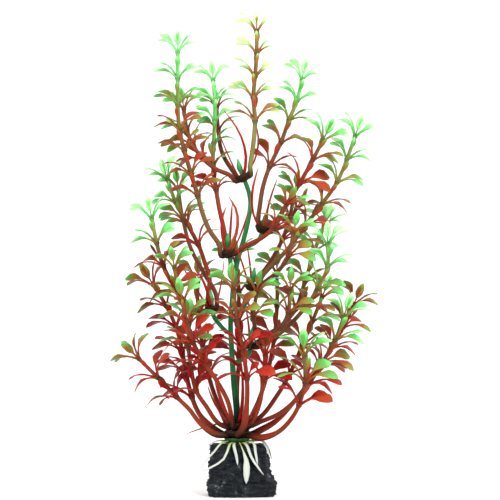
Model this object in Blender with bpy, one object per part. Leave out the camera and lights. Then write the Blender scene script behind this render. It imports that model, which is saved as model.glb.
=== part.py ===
"""Artificial aquarium bacopa: a moulded plastic plant on a rough stone-like base.

The origin is the centre of the base's flat underside, +Z is up and -Y is the front.
Lengths are in millimetres, and become metres when an object is made.
"""
import math
from collections import namedtuple

import bmesh
import bpy
from mathutils import Matrix, Vector, noise
from mathutils.bvhtree import BVHTree

MM = 0.001
UP = Vector((0, 0, 1))
RIGHT = Vector((1, 0, 0))

# Fits
GAP = 0.35                   # between two pieces that touch
CLEAR = 0.3                  # spare room round a leaf, each way
TRUNK_BORE_CLEAR = 0.6       # between the trunk and what is threaded on it
PEG_BORE_CLEAR = 0.5

# Base and roots
BASE_WIDTH = 41.6
BASE_DEPTH = 36.0
FRONT_SLOPE = 0.42           # how far the front leans back, over half the depth
BACK_SLOPE = 0.2
BASE_HEIGHT = 31.0
LEFT_TAPER = (0.10, 1.2)     # how far the top draws in, and how late up the side
RIGHT_TAPER = (0.37, 1.15)
CORNER_SHRINK = 0.12
BASE_ROUGHNESS = 0.9         # how far a lump stands out
LUMP_FINENESS = 0.11
NOISE_SHIFTS = ((9.3, -1.5, -7.9), (-3.1, 17.4, 5.2), (21.7, 8.8, -13.6))
ROOT_RING_HEIGHT = 3.0
ROOT_RING_RADIUS = 6.0
ROOT_THICKNESS = 1.2

# Stem and rings
STEM_X = -3.0
TRUNK_RADIUS = 2.1
PEG_RADIUS = 1.4
RING_HEIGHT = 4.4
RING_RADIUS = 3.7
RING_SIDES = 6
ROOT_RING_SIDES = 12

# Arms and leaves
ARM_FOOT_RADIUS = 1.85       # to the corners of its square section
LOW_ARM_FOOT_RADIUS = 2.0    # of the arms that grow from the lowest ring
LOW_ARM_BULGE = 0.35         # they are thickest a little way out
ARM_TOP_RADIUS = 1.35
JOINT_SWELL = 1.55           # a joint's radius over the arm's
JOINT_HALF_HEIGHT = 1.1
ARM_DROP = 0.4               # below its ring's middle
STRAND_THICKNESS = 1.0
LEAF_SLENDERNESS = 0.41      # width over length
LEAF_ROLL = 20.0             # degrees that a blade turns about its own length
LEAF_THICKNESS = 0.8
STALK_WIDTH = 1.1
TOP_SHRINK = 0.22            # how much shorter an arm's last leaves are
TOP_LIFT = 0.15              # how far the last leaves stand up
BUD_SHARE = 0.72             # the leaf at the tip over the arm's other leaves
BUD_SLENDERNESS = 0.32
BUD_TURN = 90.0              # its broad face looks forwards
WHORL_TURN = 7               # degrees that every third whorl is turned, each way

# A leaf's stalk end, widest place and tip: (out, up) from its joint, over its length, and
# what a lift of 1 adds to each
LEAF_PLACES = ((0.28, 0.24), (0.62, 0.36), (0.98, 0.28))
LEAF_LIFTS = ((-0.1, 0.3), (-0.25, 0.65), (-0.5, 1.0))

# The rings: where each stands, how wide it is, and how far it leans right, in degrees
Ring = namedtuple("Ring", "x y z radius bore lean")
RINGS = {
    "foot_lower": Ring(STEM_X, 0, 37.3, 6.0, TRUNK_RADIUS + TRUNK_BORE_CLEAR, 0),
    "foot_upper": Ring(STEM_X, 0, 42.2, 5.0, TRUNK_RADIUS + TRUNK_BORE_CLEAR, 0),
    "middle": Ring(5, -8, 92, RING_RADIUS, PEG_RADIUS + PEG_BORE_CLEAR, 8),
    "left": Ring(-18, -4, 114, RING_RADIUS, PEG_RADIUS + PEG_BORE_CLEAR, -10),
    "right": Ring(6, -8, 128, RING_RADIUS, PEG_RADIUS + PEG_BORE_CLEAR, 8),
    "upper_left": Ring(-8, -5, 148, RING_RADIUS, PEG_RADIUS + PEG_BORE_CLEAR, -12),
    "upper_right": Ring(12.5, -6, 163, RING_RADIUS, PEG_RADIUS + PEG_BORE_CLEAR, 14),
    "crown": Ring(1, 0, 195, RING_RADIUS, PEG_RADIUS + PEG_BORE_CLEAR, -22),
}

# The arms. "side" is the heading in degrees at the ring: 0 is right, 90 back, 270 front.
# "reach" is how far back (+) or forward (-) of its ring the tip stands. "bare" counts the
# points before the first joint. The route is (x, z) as seen from the front.
Arm = namedtuple("Arm", "name ring side reach bare leaf route")
ARMS = [
    Arm("crown_leader_arm", "crown", 340, -7, 2, 20.0,
        [(5, 202), (7, 216), (8, 230), (7, 244), (8, 257), (9, 271), (9, 284.5)]),
    Arm("crown_left_arm", "crown", 190, 9, 2, 19.5,
        [(-8, 197), (-16, 200.5), (-24, 207), (-30, 215), (-34, 225), (-36, 238)]),
    Arm("crown_back_arm", "crown", 110, 32, 2, 17.5,
        [(-8, 203), (-13, 213), (-15, 226), (-16, 240)]),
    Arm("upper_right_tall_arm", "upper_right", 95, 16, 3, 19.5,
        [(10, 168), (11, 178), (13, 190), (17, 202), (24, 217), (29, 231), (34, 243), (37, 256)]),
    Arm("upper_right_front_arm", "upper_right", 330, -18, 2, 22.0,
        [(20, 167), (27, 178), (35, 191), (43, 205.5), (49, 217)]),
    Arm("upper_right_low_arm", "upper_right", 30, 22, 2, 18.0,
        [(21, 163.5), (28, 167), (34, 177)]),
    Arm("upper_left_tall_arm", "upper_left", 190, -14, 3, 19.5,
        [(-14, 154), (-20, 163), (-24, 173), (-27, 184), (-31, 197), (-35, 211), (-38, 224),
         (-39, 239), (-39, 255), (-39, 271)]),
    Arm("upper_left_back_arm", "upper_left", 120, 20, 3, 18.0,
        [(-10, 156), (-11.5, 165), (-14, 176), (-16, 188), (-18, 203), (-17.5, 217), (-17, 231),
         (-17, 243), (-18, 256)]),
    Arm("upper_left_crossing_arm", "upper_left", 315, -18, 2, 18.0,
        [(2, 153), (12, 158), (20, 165), (27, 178)]),
    Arm("left_tall_arm", "left", 130, 12, 3, 19.5,
        [(-21, 121), (-20, 133), (-23, 143), (-27, 154), (-34, 167), (-41, 180), (-46, 194)]),
    Arm("left_outer_arm", "left", 195, -10, 2, 20.0,
        [(-25, 114), (-32, 117), (-40, 126), (-48, 141), (-52, 155), (-55, 170)]),
    Arm("left_front_arm", "left", 250, -15, 2, 19.0,
        [(-25, 113.5), (-32, 115.5), (-38, 124), (-41, 140)]),
    Arm("left_back_arm", "left", 70, 30, 3, 19.0,
        [(-16, 123), (-24, 137), (-32, 152), (-37, 170), (-40, 189)]),
    Arm("right_long_arm", "right", 0, -6, 3, 20.5,
        [(12, 134), (19, 142), (25, 148), (31, 155), (39, 166), (49, 179), (58, 192), (64, 206),
         (69, 220)]),
    Arm("right_front_arm", "right", 310, -30, 2, 19.0,
        [(15, 132), (22, 138), (28, 147), (31, 161)]),
    Arm("right_back_arm", "right", 60, 44, 2, 19.0,
        [(11, 134), (18, 144), (25, 157), (30, 172), (33, 188)]),
    Arm("middle_outer_arm", "middle", 15, -12, 3, 20.5,
        [(13, 95), (22, 99), (30, 106), (38, 115), (46, 127), (52, 140.5), (52, 154)]),
    Arm("middle_back_arm", "middle", 75, 26, 2, 20.0,
        [(13, 97), (24, 104), (33, 114), (39, 131), (45, 150), (51, 166)]),
    Arm("middle_front_arm", "middle", 255, -22, 2, 19.0,
        [(6, 96), (8, 101), (7, 111), (9, 125)]),
    Arm("middle_right_arm", "middle", 318, -24, 2, 19.5,
        [(15, 96), (23, 103), (28, 113), (29, 127)]),
    Arm("foot_left_tall_arm", "foot_lower", 160, 12, 2, 23.0,
        [(-18, 41), (-26, 49), (-31, 60), (-34.5, 74), (-37, 88), (-41, 103), (-47, 116),
         (-55, 129)]),
    Arm("foot_left_low_arm", "foot_lower", 200, -14, 3, 21.0,
        [(-17, 38), (-26, 45), (-32, 53), (-40, 61), (-51.5, 73), (-63, 84.5)]),
    Arm("foot_left_front_arm", "foot_upper", 205, -18, 2, 22.5,
        [(-15, 45), (-21.5, 54.5), (-28, 65), (-31, 79), (-32.5, 92), (-32, 106)]),
    Arm("foot_left_back_arm", "foot_upper", 245, -34, 3, 22.0,
        [(-6, 46), (-8.5, 58), (-14.5, 70), (-22, 82), (-29.5, 95), (-33, 107), (-35.5, 119)]),
    Arm("foot_right_front_arm", "foot_lower", 335, -34, 3, 24.5,
        [(12, 36), (21.5, 39.5), (29, 47), (34.5, 57), (38, 71), (37.5, 87)]),
    Arm("foot_right_tall_arm", "foot_lower", 18, 8, 3, 20.5,
        [(12, 40), (22.5, 46.5), (32, 57), (40.5, 68), (47.5, 78), (55, 90), (62.5, 103), (69, 117)]),
    Arm("foot_right_back_arm", "foot_upper", 45, 30, 2, 22.0,
        [(12, 48), (21.5, 60), (30, 74), (37.5, 91), (44, 106), (50, 121)]),
    Arm("foot_right_middle_arm", "foot_upper", 355, -15, 3, 22.5,
        [(12, 45.5), (23, 50.5), (33, 59), (41, 69), (49, 82), (57, 96), (62, 110)]),
    Arm("foot_front_arm", "foot_lower", 268, -38, 2, 22.5,
        [(1, 43), (3, 57), (3, 73), (0.5, 91), (-3, 109.5), (-5, 127)]),
    Arm("foot_front_right_arm", "foot_upper", 300, -24, 2, 22.5,
        [(6, 46), (10.5, 56), (13, 71), (14, 87)]),
    Arm("foot_back_left_arm", "foot_lower", 120, 46, 2, 22.5,
        [(-9, 43), (-15, 55), (-21, 72), (-25, 91), (-28, 111), (-28, 131)]),
    Arm("foot_back_right_arm", "foot_lower", 60, 48, 2, 22.5,
        [(4, 43), (10, 56), (16, 74), (20, 94), (22, 115), (22, 136)]),
    Arm("foot_back_arm", "foot_upper", 90, 30, 2, 21.5,
        [(-3, 50), (-3, 66), (-2, 84), (-3, 104), (-2, 124), (-4, 144)]),
]

# Thin strands on each ring: heading in degrees at the ring, width, and where each bends and
# ends, from the ring's centre
Strand = namedtuple("Strand", "side width bend tip")
STRANDS = {
    "foot_lower": [],
    "foot_upper": [Strand(150, 1.2, (-12, 0, 1.5), (-31, 0, -4.5)),
                   Strand(180, 2.2, (-12, -2.5, 11), (-18, -4, 25)),
                   Strand(225, 2.2, (-8.5, -4.5, 13), (-14, -5, 31)),
                   Strand(285, 1.8, (3.5, -9, 20), (2, -10, 44)),
                   Strand(312, 1.8, (13, -9, 15), (14, -11, 36)),
                   Strand(30, 1.5, (12, 5, 12), (17, 8, 27))],
    "middle": [Strand(100, 1.1, (-1, 7, 13), (-3, 12, 25)),
               Strand(205, 1.1, (-7, -3, 12), (-12, -6, 24))],
    "left": [Strand(325, 1.2, (5, -4, 15), (7, -5, 30)),
             Strand(265, 1.3, (-4.5, -7, 15), (-9.5, -9, 24)),
             Strand(215, 1.4, (-10.5, -7, 14), (-18, -9, 26))],
    "right": [Strand(100, 1.1, (-1, 7, 13), (-3, 10, 26)),
              Strand(215, 1.1, (-5, -4, 12), (-9, -7, 24))],
    "upper_left": [Strand(85, 1.2, (1, 6, 17), (2, 9, 32)),
                   Strand(235, 1.3, (-4.5, -5, 17), (-1.5, -6, 29)),
                   Strand(268, 1.5, (5.5, -6, 20), (0, -8, 35)),
                   Strand(15, 1.2, (7.5, 0.5, 13), (12, 0, 27))],
    "upper_right": [Strand(205, 1.8, (-6.5, -4, 17), (-2.5, -6, 38)),
                    Strand(285, 1.2, (4, -6, 16), (9, -9, 31))],
    "crown": [Strand(25, 1.3, (8.5, 5, 17), (7.5, 7, 34)),
              Strand(160, 1.2, (-9.5, 4, 14), (-16, 6, 30)),
              Strand(285, 1.4, (0, -5, 21), (-12, -7, 41))],
}

# Roots: heading in degrees at the ring, and (x, y, z, width) along each to its tip. They lie
# over the base's top and down its sloping front.
Root = namedtuple("Root", "side points")
ROOTS = [
    Root(165, [(-12.5, -1.5, 33.8, 2.0), (-18.6, -6.5, 32.4, 1.9), (-20.6, -8.5, 27.5, 1.2)]),
    Root(195, [(-12, -9.8, 33.3, 2.0), (-17, -13.6, 27.6, 1.9), (-21.8, -14.6, 22.5, 1.7),
               (-25.2, -14.6, 17.2, 1.1)]),
    Root(225, [(-7.6, -11.8, 31.8, 2.0), (-11, -15, 23.5, 1.9), (-19, -16.8, 18.3, 1.7),
               (-25, -17.8, 15.8, 1.1)]),
    Root(255, [(-5, -11.6, 31.6, 2.2), (-3.4, -14.2, 25, 2.2), (-2.5, -15.2, 19.5, 1.7)]),
    Root(285, [(-0.8, -11.8, 31.6, 2.1), (2.6, -14.8, 22.5, 1.9), (2.8, -16.8, 15.5, 4.2),
               (2.6, -17.9, 8.5, 1.2)]),
    Root(315, [(2.8, -11.4, 31.8, 2.3), (6.2, -14.4, 23.5, 2.0), (13.2, -17, 13.8, 1.2)]),
    Root(345, [(7, -10.6, 33, 2.3), (8.4, -14, 26.5, 2.3), (9.6, -15.4, 19.6, 1.6)]),
    Root(15, [(9.5, -2.5, 33.8, 2.4), (14, -6.5, 32.4, 3.2), (16.8, -8.5, 24.5, 1.8)]),
    Root(45, [(11.5, 9, 33.4, 2.3), (16.2, 10.5, 28.5, 2.2), (18.4, 11, 21, 1.9)]),
    Root(105, [(-6, 16.8, 32.5, 2.1), (-8, 18.2, 25, 1.9), (-9, 19.2, 16, 1.2)]),
    Root(75, [(1.5, 16.6, 32.5, 2.1), (3.5, 18.2, 26, 1.9), (6, 19, 19, 1.2)]),
]

# The green stem, split at its forks: (x, y, z, radius) along each piece
STEMS = {
    "trunk_stem": [
        (STEM_X, 0, BASE_HEIGHT + GAP, 2.1), (STEM_X, 0, 46, 2.1), (-3.4, 0, 55, 2.1),
        (-4.4, 0, 64, 2.0), (-5.6, 0, 77, 1.8), (-6.5, 0, 92, 1.6), (-7, 0, 106, 1.6),
        (-6, 0, 120, 1.6), (-5, 0, 132, 1.6), (-4, 0, 138, 1.6)],
    "middle_peg": [
        (-3.2, -1.6, 82, 1.3), (1, -5, 84, 1.3), (4.5, -8, 88.2, PEG_RADIUS),
        (5.5, -8, 95.5, PEG_RADIUS), (6, -8, 99, 1.75), (6.8, -8, 104, 0.6)],
    "left_peg": [
        (-9.2, -0.6, 100, 1.4), (-13, -2, 104, 1.3), (-17.3, -4, 110, PEG_RADIUS),
        (-18.6, -4, 117.5, PEG_RADIUS), (-19, -4, 121, 1.75), (-19.2, -4, 126, 0.6)],
    "right_peg": [
        (-4.4, -1.4, 110, 1.4), (1, -5, 116, 1.3), (5.4, -8, 124, PEG_RADIUS),
        (6.5, -8, 131.5, PEG_RADIUS), (7, -8, 135, 1.75), (7.8, -8, 140, 0.6)],
    "upper_left_peg": [
        (-7.0, -1.6, 134, 1.3), (-7.2, -3.6, 139, 1.3), (-7.1, -5, 143.8, PEG_RADIUS),
        (-8.8, -5, 151.8, PEG_RADIUS), (-9, -5, 155.5, 1.75), (-8.4, -5, 161, 0.6)],
    "leader_stem": [
        (-3.9, 0, 138 + GAP, 1.6), (-2, 0, 147, 1.6), (1, 1, 157, 1.5), (4, 2, 170, 1.5),
        (5.2, 2, 180, 1.5), (4.1, 1, 186.5, 1.4), (2.5, 0, 191.3, PEG_RADIUS),
        (-0.2, 0, 198, PEG_RADIUS), (-1.5, 0, 201.3, 1.75), (-2.6, 0, 206.5, 0.6)],
    "upper_right_peg": [
        (3.6, 0, 153, 1.3), (8, -3, 155, 1.3), (11.5, -6, 159, PEG_RADIUS),
        (13.3, -6, 166.3, PEG_RADIUS), (14.4, -6, 170, 1.75), (15.8, -6, 175, 0.6)],
}


# Layout of the base, the arms and their leaves

def base_place(x, y, height):
    """Where a point of a unit cube stands on the base before it gets its lumps."""
    draw, lateness = LEFT_TAPER if x < 0 else RIGHT_TAPER
    lean = FRONT_SLOPE if y < 0 else BACK_SLOPE
    shrink = 1 - CORNER_SHRINK * abs(2 * x) ** 4 * abs(2 * y) ** 4
    return Vector((x * BASE_WIDTH * (1 - draw * height ** lateness) * shrink,
                   y * BASE_DEPTH * (1 - lean * height) * shrink, height * BASE_HEIGHT))


def noise_at(spot):
    """A direction and size that differ smoothly from place to place, the same in each run."""
    return Vector([noise.noise(spot + Vector(shift)) for shift in NOISE_SHIFTS])


def base_lump(spot):
    """How far the base's main lumps move a point."""
    return noise_at(spot * LUMP_FINENESS) * 2 * BASE_ROUGHNESS


def heading(side):
    """The level direction for a heading in degrees."""
    angle = math.radians(side)
    return Vector((math.cos(angle), math.sin(angle), 0))


def ring_place(ring, side, out, up):
    """A place on or round a ring, which leans with it: out from its axis, and up along it."""
    leaning = Matrix.Rotation(math.radians(ring.lean), 3, "Y")
    return Vector((ring.x, ring.y, ring.z)) + leaning @ (heading(side) * out + UP * up)


def arm_points(arm):
    """The arm's route in three dimensions, from its ring outwards."""
    ring = RINGS[arm.ring]
    start = ring_place(ring, arm.side, ring.radius + GAP, -ARM_DROP)
    seen = [(start.x, start.z)] + list(arm.route)
    lengths = [0.0]
    for (x0, z0), (x1, z1) in zip(seen, seen[1:]):
        lengths.append(lengths[-1] + math.hypot(x1 - x0, z1 - z0))
    tip_y = ring.y + arm.reach
    points = [start]
    for (x, z), length in zip(seen[1:], lengths[1:]):
        share = math.sin(0.5 * math.pi * length / lengths[-1])
        points.append(Vector((x, start.y + (tip_y - start.y) * share, z)))
    return points


def arm_tangents(arm, points):
    """The arm's direction at each point. It leaves its ring square to the ring's wall."""
    ring = RINGS[arm.ring]
    tangents = [(points[0] - ring_place(ring, 0, 0, -ARM_DROP)).normalized()]
    for before, after in zip(points, points[2:]):
        tangents.append((after - before).normalized())
    tangents.append((points[-1] - points[-2]).normalized())
    return tangents


def arm_radius(arm, step):
    is_low = arm.ring == "foot_lower"
    foot = LOW_ARM_FOOT_RADIUS if is_low else ARM_FOOT_RADIUS
    radius = foot + (ARM_TOP_RADIUS - foot) * step / len(arm.route)
    if is_low:
        radius *= 1 + LOW_ARM_BULGE * math.sin(math.pi * min(1.0, step / 2))
    return radius


def outward(tangent, turn):
    """The direction square to the arm at a turn in degrees, 0 being towards the right."""
    right = (RIGHT - tangent * RIGHT.dot(tangent)).normalized()
    return Matrix.Rotation(math.radians(turn), 3, tangent) @ right


Leaf = namedtuple("Leaf", "turn length lift")
SIDE_TURNS = (30, 150, 210, 330)
SIDE_LIFTS = (0.22, 0.28, -0.06, 0.02)
TRIAL_TURNS = (0, 10, -10, 20, -20)
TRIAL_LENGTHS = (1.0, 0.85, 0.7, 0.55)
TRIAL_LIFTS = (0.0, 0.18, -0.18)


def leaf_line(centre, tangent, radius, leaf):
    """Stalk root, stalk end, widest place and tip of a leaf: it rises, then arches out."""
    out = outward(tangent, leaf.turn)
    line = [centre + out * radius]
    for (reach, rise), (nearer, higher) in zip(LEAF_PLACES, LEAF_LIFTS):
        line.append(centre + out * (reach + nearer * leaf.lift) * leaf.length
                    + tangent * (rise + higher * leaf.lift) * leaf.length)
    return line


def leaf_sections(line, tangent, turn, length, margin=0.0):
    """Left, right, top and bottom of the leaf at its stalk's end and its widest place."""
    level = tangent.cross(outward(tangent, turn)).normalized()
    sections = []
    for step, width, roll in ((1, STALK_WIDTH, 0), (2, LEAF_SLENDERNESS * length, LEAF_ROLL)):
        along = (line[step + 1] - line[step - 1]).normalized()
        across = Matrix.Rotation(math.radians(roll), 3, along) @ level
        normal = along.cross(across).normalized()
        side = across * (width / 2 + margin)
        half = normal * (LEAF_THICKNESS / 2 + margin)
        sections.append((line[step] - side, line[step] + side, half))
    return sections


def bud_line(arm, point, tangent):
    """Root, widest place and tip of the leaf that stands on an arm's tip."""
    length = arm.leaf * BUD_SHARE
    lean = outward(tangent, BUD_TURN) * length
    return [point + tangent * JOINT_HALF_HEIGHT,
            point + tangent * length * 0.55 + lean * 0.1,
            point + tangent * length + lean * 0.04]


SAME_JOINT = 0.6             # blocks of one arm are not tested nearer than this, in steps


class Room:
    """What is already filled: small closed meshes with an owner and a step along it."""

    def __init__(self):
        self.blocks = []

    def add(self, block, owner, step):
        self.blocks.append((block, owner, step))

    def is_free(self, block, owner, step):
        centre, reach, tree = block
        for (other_centre, other_reach, other_tree), other_owner, other_step in self.blocks:
            if owner == other_owner and abs(step - other_step) < SAME_JOINT:
                continue
            if (centre - other_centre).length > reach + other_reach:
                continue
            if tree.overlap(other_tree):
                return False
        return True


def loft_block(rings):
    """A closed block through rings of four corners each, for the test of what is filled."""
    corners = [corner for ring in rings for corner in ring]
    faces = [(0, 1, 2, 3)]
    for step in range(len(rings) - 1):
        low = 4 * step
        for side in range(4):
            after = (side + 1) % 4
            faces.append((low + side, low + after, low + 4 + after, low + 4 + side))
    last = len(corners) - 4
    faces.append((last, last + 1, last + 2, last + 3))
    centre = sum(corners, Vector()) / len(corners)
    reach = max((corner - centre).length for corner in corners)
    return centre, reach, BVHTree.FromPolygons(corners, faces)


def rod_block(start, end, start_radius, end_radius):
    """A block round a straight stretch of stem."""
    along = (end - start).normalized()
    aside = along.orthogonal().normalized()
    across = along.cross(aside)
    rings = []
    for centre, radius in ((start, start_radius), (end, end_radius)):
        rings.append([centre + aside * radius, centre + across * radius,
                      centre - aside * radius, centre - across * radius])
    return loft_block(rings)


def leaf_block(line, tangent, leaf):
    """A block round a leaf, from where its stalk is free of the joint to its tip."""
    sections = leaf_sections(line, tangent, leaf.turn, leaf.length, CLEAR)
    across = (sections[0][1] - sections[0][0]) / 2
    half = sections[0][2]
    start = line[0].lerp(line[1], 0.4)
    rings = [[start - across - half, start + across - half,
              start + across + half, start - across + half]]
    for left, right, half in sections:
        rings.append([left - half, right - half, right + half, left + half])
    tip = line[3] + (line[3] - line[2]).normalized() * CLEAR
    across = across * 0.7
    rings.append([tip - across - half, tip + across - half,
                  tip + across + half, tip - across + half])
    return loft_block(rings)


def fill_room_with_stems(room):
    """Everything but the leaves: stem, rings, strands, arms and the base."""
    half_base = Vector((0, 0, BASE_HEIGHT / 2))
    room.add(rod_block(Vector(), half_base * 2, BASE_WIDTH * 0.6, BASE_WIDTH * 0.5), "base", 0)
    for name, points in STEMS.items():
        for (x0, y0, z0, r0), (x1, y1, z1, r1) in zip(points, points[1:]):
            room.add(rod_block(Vector((x0, y0, z0)), Vector((x1, y1, z1)), r0 * 1.2 + CLEAR,
                               r1 * 1.2 + CLEAR), name, 0)
    for name, ring in RINGS.items():
        room.add(rod_block(ring_place(ring, 0, 0, -RING_HEIGHT / 2),
                           ring_place(ring, 0, 0, RING_HEIGHT / 2), ring.radius * 1.3,
                           ring.radius * 1.3), name, 0)
        for strand in STRANDS[name]:
            root, bend, tip = strand_line(ring, strand)
            room.add(rod_block(root, bend, strand.width, STRAND_THICKNESS), name, 0)
            room.add(rod_block(bend, tip, STRAND_THICKNESS, STRAND_THICKNESS / 2), name, 0)
    for arm in ARMS:
        points = arm_points(arm)
        for step, (start, end) in enumerate(zip(points, points[1:])):
            room.add(rod_block(start, end, arm_radius(arm, step) + CLEAR,
                               arm_radius(arm, step + 1) * JOINT_SWELL + CLEAR),
                     arm.name, step + 0.5)
        root, middle, tip = bud_line(arm, points[-1], arm_tangents(arm, points)[-1])
        half_width = arm.leaf * BUD_SHARE * BUD_SLENDERNESS / 2 + CLEAR
        room.add(rod_block(root, middle, 1.0, half_width), arm.name, len(points) - 0.5)
        room.add(rod_block(middle, tip, half_width, 0.5), arm.name, len(points) - 0.5)


def strand_line(ring, strand):
    """Root, bend and tip of a thin strand."""
    centre = Vector((ring.x, ring.y, ring.z))
    root = ring_place(ring, strand.side, ring.radius * 0.8, RING_HEIGHT * 0.35)
    return root, centre + Vector(strand.bend), centre + Vector(strand.tip)


def root_line(root):
    """A root's start on its ring, the places along it, and its tip."""
    foot = Vector((STEM_X, 0, BASE_HEIGHT + GAP))
    start = foot + heading(root.side) * ROOT_RING_RADIUS + UP * ROOT_RING_HEIGHT * 0.3
    return [start] + [Vector(point[:3]) for point in root.points]


def root_across(course, place):
    """The level direction across a root, which lies flat on the base wherever it runs."""
    return course.cross(place - Vector((0, 0, BASE_HEIGHT * 0.4))).normalized()


def place_leaves(room):
    """For each arm, its joints with the leaves that have room. They are added to the room.

    A joint's four leaves are turned together to where most of them are free. One that is not
    free is lifted, drooped or shortened, and left out if nothing helps.
    """
    fill_room_with_stems(room)
    placed = {}
    for order, arm in enumerate(ARMS):
        points = arm_points(arm)
        tangents = arm_tangents(arm, points)
        joints = []
        for step in range(arm.bare + 1, len(points)):
            share = (step - arm.bare) / (len(points) - arm.bare)
            length = arm.leaf * (1 - TOP_SHRINK * share)
            is_top = step == len(points) - 1
            lift = TOP_LIFT if is_top else 0.0
            lifts = SIDE_LIFTS if step % 2 else SIDE_LIFTS[2:] + SIDE_LIFTS[:2]
            base_turn = WHORL_TURN * ((step + order) % 3 - 1)
            radius = arm_radius(arm, step)
            spot = (points[step], tangents[step], radius)

            def free(leaf):
                line = leaf_line(*spot, leaf)
                return room.is_free(leaf_block(line, tangents[step], leaf), arm.name, step)

            def free_count(turn):
                return sum(free(Leaf(base_turn + turn + side, length, lift + natural))
                           for side, natural in zip(SIDE_TURNS, lifts))

            turn = base_turn + max(TRIAL_TURNS, key=free_count)
            leaves = []
            for side, natural in zip(SIDE_TURNS, lifts):
                trials = [Leaf(turn + side, length * shorter, lift + natural + more)
                          for shorter in TRIAL_LENGTHS for more in TRIAL_LIFTS]
                leaf = next((trial for trial in trials if free(trial)), None)
                leaves.append(leaf)
            for leaf in leaves:
                if leaf:
                    line = leaf_line(*spot, leaf)
                    room.add(leaf_block(line, tangents[step], leaf), arm.name, step)
            joints.append((step, turn, leaves))
        placed[arm.name] = joints
    return placed


# Materials

def material(name, colour, roughness):
    """A plain plastic or stone colour (linear RGB)."""
    new = bpy.data.materials.new(name)
    new.use_nodes = True
    shader = new.node_tree.nodes["Principled BSDF"]
    shader.inputs["Base Color"].default_value = (*colour, 1)
    shader.inputs["Roughness"].default_value = roughness
    shader.inputs["Metallic"].default_value = 0.0
    return new


def add_object(name, mesh, collection, finish):
    """Put a mesh that is in millimetres into the scene at its real size."""
    mesh.transform(Matrix.Scale(MM, 4))
    mesh.materials.append(finish)
    new = bpy.data.objects.new(name, mesh)
    collection.objects.link(new)
    return new


def mesh_from(shape, name):
    """Close the shape's merged corners, turn its faces outwards and make it a mesh."""
    bmesh.ops.remove_doubles(shape, verts=shape.verts[:], dist=0.001)
    bmesh.ops.recalc_face_normals(shape, faces=shape.faces[:])
    bmesh.ops.triangulate(shape, faces=[face for face in shape.faces if len(face.verts) > 3])
    mesh = bpy.data.meshes.new(name)
    shape.to_mesh(mesh)
    shape.free()
    return mesh


# Shapes

RING_WALL_SHARE = 0.8        # of a ring's height, up to where its top starts to slope
BASE_CELLS = 4
LEVEL_RADIUS = 12.0          # the base's top is level this far round the stem


def turned_ring(radius, bore, height, sides):
    """A ring with a level underside, an upright wall and a top that slopes up to its bore."""
    shape = bmesh.new()
    profile = [(bore, 0), (radius, 0), (radius, height * RING_WALL_SHARE), (bore, height)]
    rows = [[shape.verts.new(heading(360 * side / sides) * r + UP * z) for r, z in profile]
            for side in range(sides)]
    for side in range(sides):
        here, before = rows[side], rows[side - 1]
        for i in range(len(profile)):
            shape.faces.new((before[i - 1], before[i], here[i], here[i - 1]))
    bmesh.ops.recalc_face_normals(shape, faces=shape.faces[:])
    return shape


def grow(shape, face, sections, tip):
    """Draw a face out into a tapering blade through (left, right, half) sections to a tip.

    Each section is a flat-bottomed triangle: its left and right corners, and a ridge.
    """
    for left, right, half in sections:
        middle = face.calc_center_median()
        face = bmesh.ops.extrude_discrete_faces(shape, faces=[face])["faces"][0]
        ridge = (left + right) / 2 + half
        places = [left - half, right - half, ridge, ridge]
        if (right - left).cross(half).dot((left + right) / 2 - middle) < 0:
            places.reverse()
        for vert, place in zip(face.verts, nearest_turn(face.verts, places)):
            vert.co = place
    face = bmesh.ops.extrude_discrete_faces(shape, faces=[face])["faces"][0]
    for vert in face.verts:
        vert.co = tip


def facing(shape, direction, centre, allowed):
    """The allowed face that looks most in a direction from a centre."""
    return max(allowed, key=lambda face: (face.calc_center_median() - centre).dot(direction))


def strip_sections(line, widths, thickness, across):
    """Sections of a thin blade along a line, left out at its two ends."""
    sections = []
    for before, here, after, width in zip(line, line[1:], line[2:], widths):
        normal = (after - before).cross(across).normalized()
        sections.append((here - across * width / 2, here + across * width / 2,
                         normal * thickness / 2))
    return sections


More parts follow.
